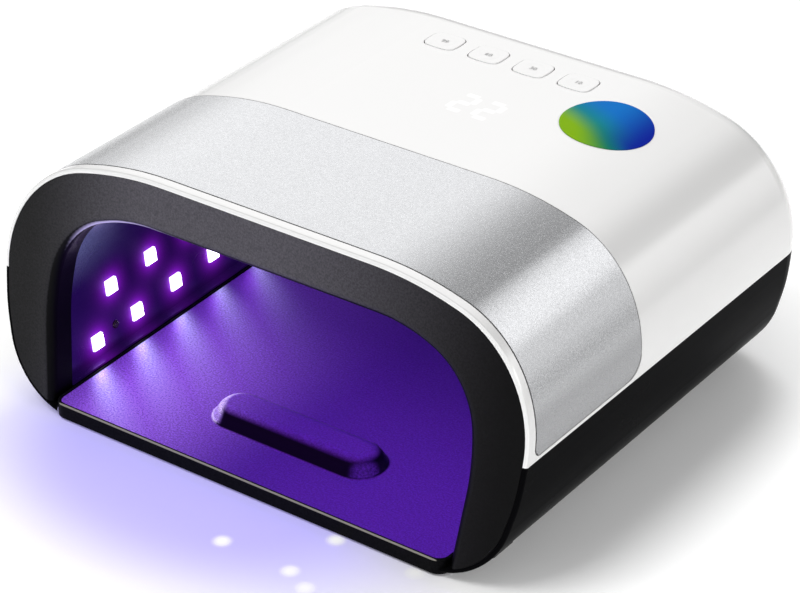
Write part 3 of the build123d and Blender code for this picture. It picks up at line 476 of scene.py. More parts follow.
def noise(tree, place, size, detail=2.0, roughness=0.5):
    """A noise whose blobs are about this many metres across"""
    inputs = {"Vector": place, "Scale": 1.0 / size, "Detail": detail, "Roughness": roughness}
    return node(tree, "ShaderNodeTexNoise", inputs).outputs["Fac"]


def bump(tree, height, distance, strength=1.0):
    """A normal that follows a height"""
    inputs = {"Height": height, "Distance": distance, "Strength": strength}
    return node(tree, "ShaderNodeBump", inputs).outputs["Normal"]


def dress(names, material):
    """Give CAD nodes one finish"""
    for name in names:
        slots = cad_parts[name].data.materials
        slots.clear()
        slots.append(material)


def islands(name):
    """The separate solids of a CAD node, each as its faces' normals, areas and corners"""
    merged = bmesh.new()
    merged.from_mesh(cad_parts[name].data)
    bmesh.ops.remove_doubles(merged, verts=merged.verts, dist=MM / 100)
    found, seen = [], set()
    for first in merged.faces:
        if first in seen:
            continue
        group, waiting = [], [first]
        seen.add(first)
        while waiting:
            face = waiting.pop()
            group.append(face)
            for edge in face.edges:
                for beside in edge.link_faces:
                    if beside not in seen:
                        seen.add(beside)
                        waiting.append(beside)
        found.append(
            [(face.normal.copy(), face.calc_area(), [v.co.copy() for v in face.verts]) for face in group]
        )
    merged.free()
    return found


def span(points):
    """The lowest and the highest corner of the box round some points"""
    return Vector(map(min, *points)), Vector(map(max, *points))


def extent(island):
    """The lowest and the highest corner of a solid"""
    return span([corner for normal, area, corners in island for corner in corners])


def front_of(island, inward):
    """The middle and the normal of the side of a solid that faces inward"""
    way = Vector(inward)
    # Of the faces that face this way alike, the largest one counts
    normal = max(island, key=lambda face: round(face[0].dot(way), 3) * 10 + face[1])[0]
    corners = [corner for face in island if face[0].dot(normal) > 0.999 for corner in face[2]]
    reach = max(corner.dot(normal) for corner in corners)
    low, high = span([corner for corner in corners if corner.dot(normal) > reach - MM / 10])
    return (low + high) / 2, normal


def nothing_selected():
    """Leave edit mode and deselect everything"""
    if bpy.context.object and bpy.context.object.mode != "OBJECT":
        bpy.ops.object.mode_set(mode="OBJECT")
    bpy.ops.object.select_all(action="DESELECT")


def only(*objects):
    """Select these objects alone and make the first one active"""
    nothing_selected()
    for thing in objects:
        thing.select_set(True)
    bpy.context.view_layer.objects.active = objects[0]


def pick(faces=None, edges=None):
    """In edit mode, select the faces or the edges that a test accepts"""
    mesh = bpy.context.object.data
    bpy.ops.mesh.select_all(action="DESELECT")
    bpy.ops.mesh.select_mode(type="FACE" if faces else "EDGE")
    edited = bmesh.from_edit_mesh(mesh)
    for item in edited.faces if faces else edited.edges:
        item.select = (faces or edges)(item)
    edited.select_flush_mode()
    bmesh.update_edit_mesh(mesh)


def settle(piece, name, body, material):
    """Bake a piece's place into its mesh, name it, finish it and let it ride"""
    only(piece)
    bpy.ops.object.transform_apply(location=True, rotation=True, scale=True)
    piece.name = piece.data.name = name
    piece.data.materials.clear()
    piece.data.materials.append(material)
    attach(piece, body)


def white_plastic(name, with_display=False):
    """Gloss white moulding, with painted shade on its shoulders and upright sides, a painted highlight
    on its front lip, and the display's figures shining through it where asked
    """
    look = settings().shell
    material, tree, shader = start_material(
        name, roughness=0.24, ior=1.47, coat_weight=1.0, coat_roughness=0.08, coat_ior=1.6
    )
    place = object_place(tree)
    clouds = noise(tree, place, 0.06, 3)
    peel = noise(tree, place, 0.0016, 2)
    side, ahead, up = axes(tree, facing(tree))
    color = blend_colors(tree, clouds, toned(look.white, 0.985), toned(look.white, 1.012, most=1.0))
    # Painted shade on the shoulders, where the crown turns into the sides
    shoulder = product(tree, spread(tree, up, 0.66, 0.74), spread(tree, up, 0.81, 0.985, 1.0, 0.0))
    color = blend_colors(tree, shoulder, color, toned(look.white, look.shoulder))
    # Painted shade on the upright sides
    upright = spread(tree, work_out(tree, "ABSOLUTE", side), 0.6, 0.85)
    color = blend_colors(tree, upright, color, toned(look.white, look.side))
    # Painted highlight on the front lip
    front_lip_highlight = spread(tree, ahead, -0.9, -0.4, 1.0, 0.0)
    color = blend_colors(tree, front_lip_highlight, color, toned(look.white, FRONT_LIP_HIGHLIGHT, most=0.97))
    plug(
        tree, shader, base_color=color, roughness=spread(tree, clouds, 0.3, 0.7, 0.2, 0.27),
        normal=bump(tree, peel, 0.00001, 0.5),
    )
    if with_display:
        shader.inputs["Emission Color"].default_value = (1, 1, 1, 1)
        plug(tree, shader, emission_strength=display_light(tree, place))
    return material


def lit_bars():
    """The display's bars that make the figure two twice, each as its lowest and highest corner"""
    bars = [extent(island) for island in islands("display_bars")]
    low, high = span([corner for bar in bars for corner in bar])
    middle = (low.x + high.x) / 2
    lit = []
    for side in (-1, 1):
        figure = [bar for bar in bars if ((bar[0].x + bar[1].x) / 2 - middle) * side > 0]
        low, high = span([corner for bar in figure for corner in bar])
        for bar in figure:
            across = ((bar[0].x + bar[1].x) / 2 - low.x) / (high.x - low.x)
            up = ((bar[0].y + bar[1].y) / 2 - low.y) / (high.y - low.y)
            if any(abs(across - a) < 0.2 and abs(up - u) < 0.12 for a, u in LIT_IN_TWO):
                lit.append(bar)
    return lit


def display_light(tree, place):
    """How strongly the lit bars shine through each point of the shell's crown"""
    x, y, z = axes(tree, place)
    glows = []
    for low, high in lit_bars():
        middle, half = (low + high) / 2, (high - low) / 2
        past = []
        for along, centre, reach in ((x, middle.x, half.x), (y, middle.y, half.y)):
            off = work_out(tree, "ABSOLUTE", work_out(tree, "SUBTRACT", along, centre))
            past.append(largest(tree, work_out(tree, "SUBTRACT", off, reach - BAR_INSET), 0.0))
        glows.append(spread(tree, length_of(tree, *past), 0.0, BAR_BLUR, 1.0, 0.0))
    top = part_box("upper_shell")[1].z
    crown = spread(tree, z, top - 4 * MM, top - 2 * MM)
    return product(tree, largest(tree, *glows), crown, settings().figures.glow)


def black_gloss(name):
    """Black moulding of the lower shell, with a fine grain"""
    color = settings().shell.black
    material, tree, shader = start_material(name, roughness=0.3, ior=1.45, specular_ior_level=0.008)
    place = object_place(tree)
    clouds = noise(tree, place, 0.03, 4)
    fine = noise(tree, place, 0.0006, 3, 0.6)
    plug(
        tree, shader, base_color=blend_colors(tree, clouds, toned(color, 0.8), toned(color, 1.25)),
        roughness=spread(tree, clouds, 0.25, 0.75, 0.264, 0.336),
        normal=bump(tree, fine, 0.00001, 0.6),
    )
    return material


def tray_black(name):
    """Satin black of the tray's frame, with a painted highlight: a pale line where its top turns into
    its front
    """
    color = settings().shell.black
    material, tree, shader = start_material(name, roughness=0.36, ior=1.45, specular_ior_level=0.03)
    low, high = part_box("tray_frame")
    place = object_place(tree)
    _, y, z = axes(tree, place)
    fine = noise(tree, place, 0.0008, 3, 0.65)
    mottled = blend_colors(tree, spread(tree, fine, 0.3, 0.7), rgba(color), toned(color, 2.4))
    # Painted highlight along the edge where the top turns into the front
    line = product(
        tree, spread(tree, z, high.z - 0.6 * MM, high.z - 0.35 * MM),
        spread(tree, y, low.y + 0.35 * MM, low.y + 0.6 * MM, 1.0, 0.0),
    )
    plug(
        tree, shader, base_color=blend_colors(tree, line, mottled, TRAY_EDGE_HIGHLIGHT),
        roughness=spread(tree, fine, 0.25, 0.75, 0.32, 0.4), normal=bump(tree, fine, 0.00003, 0.6),
    )
    return material


def bezel_satin(name):
    """Satin black, with painted shade that deepens to the right, on the upright sides and where the
    front turns into the mouth, a painted sheen along its top bar and a painted glowing rim at the
    mouth's corner
    """
    color = settings().shell.bezel
    material, tree, shader = start_material(
        name, roughness=0.42, ior=1.45, specular_ior_level=0.09, emission_color=BEZEL_RIM_GLOW
    )
    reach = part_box("front_bezel")[1].x
    place = object_place(tree)
    x = axes(tree, place)["X"]
    side, ahead, up = axes(tree, facing(tree))
    fine = noise(tree, place, 0.0007, 3, 0.7)
    # Painted shade and reflection: lighter on the left, darker toward the right
    shade_to_right = spread(tree, x, -0.8 * reach, 0.5 * reach)
    tone = blend_colors(tree, shade_to_right, toned(color, 1.7), toned(color, 0.15))
    # Painted sheen along the top bar
    sheen = product(
        tree, spread(tree, x, -0.95 * reach, -0.42 * reach),
        spread(tree, x, -0.05 * reach, 0.97 * reach, 1.0, 0.0),
    )
    tone = blend_colors(tree, sheen, tone, rgba(c * f for c, f in zip(color, BEZEL_SHEEN)))
    # Darker in the grain's pits, and painted shade on the upright sides and where the front turns into
    # the mouth
    for dark in (
        spread(tree, fine, 0.3, 0.7, 0.0, 0.4),
        spread(tree, work_out(tree, "ABSOLUTE", side), 0.45, 0.8, 0.0, 0.85),
        spread(tree, ahead, -0.965, -0.88, 0.0, 0.92),
    ):
        tone = blend_colors(tree, dark, tone, BLACK)
    # Painted glow on the mouth's rounded edge, at its upper left corner
    rim = product(tree, spread(tree, ahead, -0.93, -0.82), spread(tree, ahead, -0.60, -0.42, 1.0, 0.0))
    corner = product(
        tree, spread(tree, x, -0.62 * reach, -0.3 * reach, 1.0, 0.0),
        spread(tree, up, -0.7, -0.25, 1.0, 0.0),
    )
    plug(
        tree, shader, base_color=tone, roughness=spread(tree, fine, 0.25, 0.75, 0.37, 0.47),
        emission_strength=product(tree, rim, corner), normal=bump(tree, fine, 0.00005, 0.7),
    )
    return material


def band_seam(tree, place):
    """How near each point lies to the band's back and bottom edges, from 0 to 1, where the gap's shade
    is painted
    """
    low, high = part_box("front_band")
    _, y, z = axes(tree, place)
    sheared = work_out(tree, "MULTIPLY_ADD", work_out(tree, "SUBTRACT", z, low.z), -BAND_SLOPE, y)
    back = high.y - BAND_SLOPE * (high.z - low.z)
    past_back = work_out(tree, "SUBTRACT", sheared, back - BAND_CORNER)
    past_bottom = work_out(tree, "SUBTRACT", low.z + BAND_CORNER, z)
    outside = length_of(tree, largest(tree, past_back, 0.0), largest(tree, past_bottom, 0.0))
    inside = work_out(tree, "MINIMUM", largest(tree, past_back, past_bottom), 0.0)
    distance = work_out(tree, "SUBTRACT", total(tree, outside, inside), BAND_CORNER)
    return spread(tree, work_out(tree, "ABSOLUTE", distance), 0.12 * MM, 0.4 * MM, 1.0, 0.0)


def silver_paint(name):
    """Metallic paint: bright flakes, each turned a little its own way, with painted shade on its upright
    flanks and in the gap at its edges
    """
    look = settings().shell
    material, tree, shader = start_material(name, metallic=0.9, roughness=0.26)
    place = object_place(tree)
    flakes = node(tree, "ShaderNodeTexVoronoi", {"Vector": place, "Scale": 1.0 / look.flake})
    bright, tilt, _ = node(tree, "ShaderNodeSeparateColor", {"Color": flakes.outputs["Color"]}).outputs
    fine = noise(tree, place, look.flake * 1.6, 4, 0.7)
    speckle = spread(tree, weighed(tree, (bright, 0.45), (fine, 0.55)), 0.25, 0.75)
    color = blend_colors(tree, speckle, toned(look.silver, 0.91), toned(look.silver, 1.07, most=1.0))
    # Painted shade: the silver is toned down on its upright flanks
    crown = spread(tree, axes(tree, facing(tree))["Z"], 0.2, 0.5)
    color = blend_colors(tree, crown, toned(look.silver, look.flank), color)
    # Painted shade in the gap along the band's back and bottom edges
    color = blend_colors(tree, band_seam(tree, place), color, SEAM_SHADE)
    plug(
        tree, shader, base_color=color, roughness=spread(tree, fine, 0.3, 0.7, 0.22, 0.31),
        normal=bump(tree, tilt, look.flake * 0.035, 0.5),
    )
    return material


def chip_fronts(name):
    """The middle and normal of each lamp of one wall"""
    inward = CHIP_WALLS[name][1]
    return [front_of(island, inward) for island in islands(name)]


def wall_rows():
    """The two rows of lamps in a side wall, each from the front to the back"""
    middles = sorted((middle for middle, normal in chip_fronts("led_chips_right")), key=lambda m: m.y)
    return middles[0::2], middles[1::2]


def from_nearest(tree, value, first, pitch, count):
    """A coordinate's offset from the nearest of some evenly spaced marks, and its number"""
    step = work_out(tree, "DIVIDE", work_out(tree, "SUBTRACT", value, first), pitch)
    kept = largest(tree, work_out(tree, "ROUND", step), 0.0)
    kept = work_out(tree, "MINIMUM", kept, float(count - 1))
    return product(tree, work_out(tree, "SUBTRACT", step, kept), pitch), kept


def fade(tree, offset, reach):
    """A glow that falls off with the distance from its source"""
    return work_out(tree, "EXPONENT", work_out(tree, "DIVIDE", offset, -reach))


def halo_light(tree, place):
    """How near each point of the liner lies to a lamp, from 0 to 1, for the painted halo of its light"""
    x, y, z = axes(tree, place)
    reach = settings().glow.halo_radius
    halos = []
    for row in wall_rows():
        steps = len(row) - 1
        pitch = (row[-1].y - row[0].y) / steps
        rise = (row[-1].z - row[0].z) / steps
        along, number = from_nearest(tree, y, row[0].y, pitch, len(row))
        level = work_out(tree, "MULTIPLY_ADD", number, rise, row[0].z)
        halos.append(fade(tree, length_of(tree, along, work_out(tree, "SUBTRACT", z, level)), reach))
    roof = [middle for middle, normal in chip_fronts("led_chips_top")]
    side = round(len(roof) ** 0.5)
    low, high = span(roof)
    pitch = (high.x - low.x) / (side - 1)
    across = from_nearest(tree, x, low.x, pitch, side)[0]
    along = from_nearest(tree, y, low.y, pitch, side)[0]
    overhead = spread(tree, z, low.z - 8 * MM, low.z - 2 * MM)
    halos.append(product(tree, fade(tree, length_of(tree, across, along), reach), overhead))
    return total(tree, *halos)


def mirror_liner(name):
    """Bright sheet of the chamber, with its lamps' violet light and halos painted on as glow, and a
    painted reflection at its front upper corner
    """
    look = settings().glow
    material, tree, shader = start_material(name, metallic=1.0, roughness=0.3, emission_strength=1.0)
    place = object_place(tree)
    x, y, z = axes(tree, place)
    grain = noise(tree, place, 0.0006, 3, 0.7)
    clouds = noise(tree, place, 0.02, 2)
    # Painted glow of the lamps' violet light and their halos
    violet = blend_colors(tree, halo_light(tree, place), toned(look.violet, 0.03), toned(look.halo, 2.3))
    # Painted reflection: a blue-grey sheen at the chamber's front upper left corner
    front_corner_sheen = product(
        tree, spread(tree, x, -78 * MM, -25 * MM, 1.0, 0.0),
        spread(tree, y, -76 * MM, -36 * MM, 1.0, 0.0), spread(tree, z, 36 * MM, 62 * MM),
        spread(tree, grain, 0.3, 0.7, 0.55, 1.0),
    )
    plug(
        tree, shader, base_color=blend_colors(tree, grain, LINER_DARK, LINER_PALE),
        roughness=spread(tree, clouds, 0.3, 0.7, 0.27, 0.33),
        emission_color=blend_colors(tree, front_corner_sheen, violet, LINER_CORNER_SHEEN),
        normal=bump(tree, grain, 0.00002, 0.4),
    )
    return material


def lamp_streaks(tree, from_wall, y):
    """Painted reflections of the lamps: pale streaks on the tray, from the wall's foot under each lower
    lamp to the front
    """
    row = wall_rows()[0]
    pitch = (row[-1].y - row[0].y) / (len(row) - 1)
    slid = work_out(tree, "MULTIPLY_ADD", from_wall, STREAK_SLANT, y)
    along, number = from_nearest(tree, slid, row[0].y - 4 * MM, pitch, len(row))
    half_width = work_out(tree, "MULTIPLY_ADD", from_wall, STREAK_WIDENING, STREAK_FOOT)
    share = work_out(tree, "DIVIDE", along, half_width)
    bell = work_out(tree, "EXPONENT", product(tree, share, share, -1.0))
    nearer = spread(tree, number, 0.0, float(len(row) - 1), 1.0, 0.35)
    return product(tree, bell, fade(tree, from_wall, STREAK_LENGTH), nearer)


def tray_metal(name):
    """Satin sheet of the tray, with the violet light of the lamps painted on as glow, brighter by the
    wall, with painted streaks of their reflection, and painted shade and highlights on the rest
    """
    look = settings().glow
    material, tree, shader = start_material(name, metallic=1.0, roughness=0.36)
    place = object_place(tree)
    x, y, _ = axes(tree, place)
    grain = noise(tree, place, 0.0007, 4, 0.75)
    coarse = noise(tree, place, 0.0014, 2, 0.6)
    from_wall = total(tree, x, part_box("tray_plate")[1].x)
    # Painted light, brighter near the wall of lamps and toward the front
    near_wall_glow = product(
        tree, spread(tree, from_wall, 2 * MM, 20 * MM, 0.45, 1.0),
        spread(tree, from_wall, 24 * MM, 92 * MM, 1.0, 0.0),
        spread(tree, y, -75 * MM, 15 * MM, 1.0, 0.12),
    )
    # Painted glow, weaker toward the back
    deeper = spread(tree, y, -75 * MM, 50 * MM)
    glow = blend_colors(tree, deeper, toned(look.violet, 0.22), toned(look.violet, 0.10))
    glow = blend_colors(tree, near_wall_glow, glow, WALL_GLOW)
    glow = blend_colors(tree, lamp_streaks(tree, from_wall, y), glow, STREAK_GLINT)
    # Painted shade: the rest is dark on its slopes, but for painted highlights on its rim on the left
    # and its nose on the right
    up = axes(tree, facing(tree))["Z"]
    level = spread(tree, up, 0.68, 0.995)
    rim = product(tree, spread(tree, toward(tree, (-1, 0, 0)), 0.12, 0.42), spread(tree, up, 0.05, 0.4))
    lavender = blend_colors(tree, spread(tree, up, 0.34, 0.72), RIM_HIGHLIGHT_FOOT, RIM_HIGHLIGHT_TOP)
    glow = blend_colors(tree, rim, glow, lavender)
    nose = spread(tree, toward(tree, NOSE_FACES), 0.80, 1.0, 0.0, 0.55)
    glow = blend_colors(tree, spread(tree, nose, 0.0, 0.2), glow, NOSE_HIGHLIGHT)
    # The painted glow sparkles with the grain
    sparkle = spread(tree, grain, 0.32, 0.70, 0.45, 1.6)
    sheet = blend_colors(tree, grain, SHEET_DARK, SHEET_PALE)
    plug(
        tree, shader, base_color=blend_colors(tree, level, SHEET_SLOPE_SHADE, sheet),
        roughness=spread(tree, coarse, 0.3, 0.7, 0.36, 0.46), emission_color=glow,
        emission_strength=product(tree, sparkle, largest(tree, level, rim, nose)),
        normal=bump(tree, grain, 0.00005, 0.6),
    )
    return material


def lit_lens(name):
    """Clear lens over a lit diode"""
    look = settings().glow
    material, tree, shader = start_material(
        name, base_color=rgba(look.lens), roughness=0.15, ior=1.5, emission_color=rgba(look.lens)
    )
    dots = noise(tree, object_place(tree), 0.0012, 2)
    strength = spread(tree, dots, 0.3, 0.7, look.lens_strength * 0.85, look.lens_strength * 1.1)
    plug(tree, shader, emission_strength=strength)
    return material


def sticker_film(name):
    """Printed film whose ink runs from lime over green and teal to blue and navy"""
    look = settings().sticker
    material, tree, shader = start_material(name, roughness=0.4, ior=1.45, specular_ior_level=0.05)
    low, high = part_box("round_sticker")
    middle, radius = (low + high) / 2, (high.x - low.x) / 2
    place = object_place(tree)
    local = node(
        tree, "ShaderNodeMapping",
        {"Vector": place, "Location": [-c / radius for c in middle], "Scale": [1 / radius] * 3},
    )
    x, y, _ = axes(tree, local.outputs["Vector"])
    back = weighed(tree, (x, 0.36), (y, 0.92))
    right = weighed(tree, (x, 0.81), (y, 0.58))
    ink = blend_colors(tree, spread(tree, right, -0.75, 0.05), rgba(look.lime), rgba(look.green))
    ink = blend_colors(tree, spread(tree, back, -0.65, 0.0), ink, rgba(look.teal))
    ink = blend_colors(tree, spread(tree, back, -0.3, 0.5), ink, rgba(look.blue))
    deep = product(tree, spread(tree, x, -0.25, 1.0), spread(tree, back, -0.8, -0.05))
    ink = blend_colors(tree, deep, ink, rgba(look.navy))
    plug(tree, shader, base_color=ink, normal=bump(tree, noise(tree, place, 0.0004, 2), 0.000005, 0.3))
    return material


def plain_finish(name, color, roughness, metallic=0.0, grain=0.0008, depth=0.00002):
    """A moulded, plated or rubber finish with mottled colour and a fine grain"""
    material, tree, shader = start_material(name, roughness=roughness, metallic=metallic, ior=1.45)
    place = object_place(tree)
    clouds = noise(tree, place, grain * 12, 4)
    fine = noise(tree, place, grain, 3, 0.6)
    plug(
        tree, shader,
        base_color=blend_colors(tree, clouds, toned(color, 0.85), toned(color, 1.15, most=1.0)),
        roughness=spread(tree, clouds, 0.25, 0.75, roughness * 0.85, min(roughness * 1.15, 1)),
        normal=bump(tree, fine, depth, 0.6),
    )
    return material


class LAMP_OT_finish_shells(bpy.types.Operator):
    """Give the white, black and silver housing pieces their finishes"""

    bl_idname = "lamp.finish_shells"
    bl_label = "Finish Shells"

    def execute(self, context):
        dress(["upper_shell"], white_plastic("white_shell_gloss", with_display=True))
        dress(WHITE_CAPS, white_plastic("white_cap_gloss"))
        dress(["lower_shell"], black_gloss("black_shell_gloss"))
        dress(["tray_frame"], tray_black("tray_black_satin"))
        dress(["front_bezel"], bezel_satin("bezel_satin"))
        dress(["front_band"], silver_paint("band_silver_flake"))
        return {"FINISHED"}


class LAMP_OT_finish_chamber(bpy.types.Operator):
    """Finish the mirror liner, the tray's floor and the eyes in the light of the lamps"""

    bl_idname = "lamp.finish_chamber"
    bl_label = "Finish Chamber"

    def execute(self, context):
        dress(["reflector"], mirror_liner("liner_bright_sheet"))
        dress(["tray_plate"], tray_metal("tray_satin_sheet"))
        dress(["ir_emitter", "ir_receiver"], plain_finish("eye_dark_dome", (0.03, 0.008, 0.03), 0.12))
        return {"FINISHED"}


class LAMP_OT_add_lenses(bpy.types.Operator):
    """Model one domed lens and stand a copy on every lamp of the chamber"""

    bl_idname = "lamp.add_lenses"
    bl_label = "Add Lenses"

    side: bpy.props.FloatProperty(
        name="Side", description="Side of the square foot of a lens", unit="LENGTH",
        default=0.0050, min=0.001, max=0.01, precision=4,
    )
    rise: bpy.props.FloatProperty(
        name="Rise", description="Height of the dome over its foot", unit="LENGTH",
        default=0.0007, min=0.0001, max=0.004, precision=4,
    )

    def model_lens(self):
        """A rounded square foot whose top swells into a low dome"""
        nothing_selected()
        foot = self.rise / 3
        bpy.ops.mesh.primitive_cube_add(
            size=1, scale=(self.side, self.side, foot), location=(0, 0, foot / 2)
        )
        bpy.ops.object.transform_apply(location=True, rotation=True, scale=True)
        lens = bpy.context.object
        bpy.ops.object.mode_set(mode="EDIT")
        pick(edges=lambda edge: abs((edge.verts[0].co - edge.verts[1].co).z) > foot / 2)
        bpy.ops.mesh.bevel(offset=self.side * 0.08, segments=3, affect="EDGES")
        pick(faces=lambda face: face.normal.z > 0.9)
        bpy.ops.mesh.inset(thickness=self.side * 0.06)
        bpy.ops.transform.translate(value=(0, 0, self.rise * 2 / 3))
        bpy.ops.object.mode_set(mode="OBJECT")
        only(lens)
        bpy.ops.object.shade_smooth_by_angle(angle=SMOOTH_ANGLE)
        return lens

    def light_chips(self):
        """Let the white bodies under the lenses glow a little"""
        look = settings().glow
        material = plain_finish("chip_white_body", (0.85, 0.8, 0.95), 0.4)
        shader = shader_of(material)
        shader.inputs["Emission Color"].default_value = rgba(look.lens)
        shader.inputs["Emission Strength"].default_value = look.lens_strength / 3
        dress(CHIP_WALLS, material)

    def execute(self, context):
        lens = self.model_lens()
        material = lit_lens("lens_lit")
        for chips, (name, _) in CHIP_WALLS.items():
            copies = []
            for middle, normal in chip_fronts(chips):
                copy = lens.copy()
                copy.data = lens.data.copy()
                context.scene.collection.objects.link(copy)
                across = Vector((0, 1, 0)).cross(normal).normalized()
                turn = Matrix((across, normal.cross(across), normal)).transposed().to_4x4()
                copy.matrix_world = Matrix.Translation(middle) @ turn
                copies.append(copy)
            only(*copies)
            bpy.ops.object.join()
            settle(copies[0], name, "housing", material)
        bpy.data.objects.remove(lens)
        self.light_chips()
        return {"FINISHED"}


class LAMP_OT_finish_sticker(bpy.types.Operator):
    """Print the round sticker"""

    bl_idname = "lamp.finish_sticker"
    bl_label = "Finish Sticker"

    def execute(self, context):
        dress(["round_sticker"], sticker_film("sticker_gradient"))
        return {"FINISHED"}


class LAMP_OT_add_button_figures(bpy.types.Operator):
    """Print a number of seconds on each button"""

    bl_idname = "lamp.add_button_figures"
    bl_label = "Add Button Figures"

    seconds: bpy.props.IntVectorProperty(
        name="Seconds", description="Numbers on the buttons, from the first to the fourth",
        size=4, default=(99, 60, 30, 10), min=0, max=999,
    )

    def execute(self, context):
        look = settings().figures
        ink = plain_finish("figure_grey_ink", look.ink, 0.5, grain=0.0003, depth=0.000002)
        for place, (cap, number) in enumerate(zip(WHITE_CAPS, self.seconds), start=1):
            low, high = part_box(cap)
            nothing_selected()
            bpy.ops.object.text_add()
            text = context.object
            text.data.body = str(number)
            text.data.align_x, text.data.align_y = "CENTER", "CENTER"
            text.data.size = look.height
            text.data.extrude = look.film / 2
            text.data.resolution_u = 3
            bpy.ops.object.convert(target="MESH")
            figure = context.object
            figure.location = ((low.x + high.x) / 2, (low.y + high.y) / 2, high.z)
            settle(figure, f"button_figure_{place}", f"button_body_{place}", ink)
        return {"FINISHED"}


class LAMP_OT_finish_inner_parts(bpy.types.Operator):
    """Finish the boards, switches, screws, magnets, feet and inlet"""

    bl_idname = "lamp.finish_inner_parts"
    bl_label = "Finish Inner Parts"

    def execute(self, context):
        boards = ("led_board_left", "led_board_right", "led_board_top")
        plungers = tuple(f"switch_plunger_{place}" for place in range(1, 5))
        pads = ("rubber_feet", "tray_pads")
        for names, finish, color, roughness, more in (
            (boards, "board_white_mask", (0.72, 0.73, 0.71), 0.4, {}),
            (("control_board",), "board_green_mask", (0.02, 0.12, 0.05), 0.35, {}),
            (("tact_switches", "display_module"), "part_black_moulding", (0.02, 0.02, 0.02), 0.45, {}),
            (("dc_jack",), "inlet_black_moulding", (0.015, 0.015, 0.015), 0.35, {}),
            (("display_bars",), "bar_milky", (0.85, 0.86, 0.88), 0.3, {}),
            (("button_frame",), "frame_white_moulding", (0.8, 0.8, 0.79), 0.5, {}),
            (("board_screws", "shell_screws"), "screw_zinc", (0.55, 0.55, 0.56), 0.3, {"metallic": 1.0}),
            (("housing_magnets",), "magnet_nickel", (0.62, 0.61, 0.58), 0.2, {"metallic": 1.0}),
            (("keeper_plates",), "keeper_bare_steel", (0.5, 0.5, 0.5), 0.4, {"metallic": 1.0}),
            (pads, "foot_rubber_matt", (0.02, 0.02, 0.02), 0.75, {"depth": 0.00006}),
            (plungers, "plunger_natural", (0.75, 0.73, 0.66), 0.5, {}),
        ):
            dress(names, plain_finish(finish, color, roughness, **more))
        return {"FINISHED"}


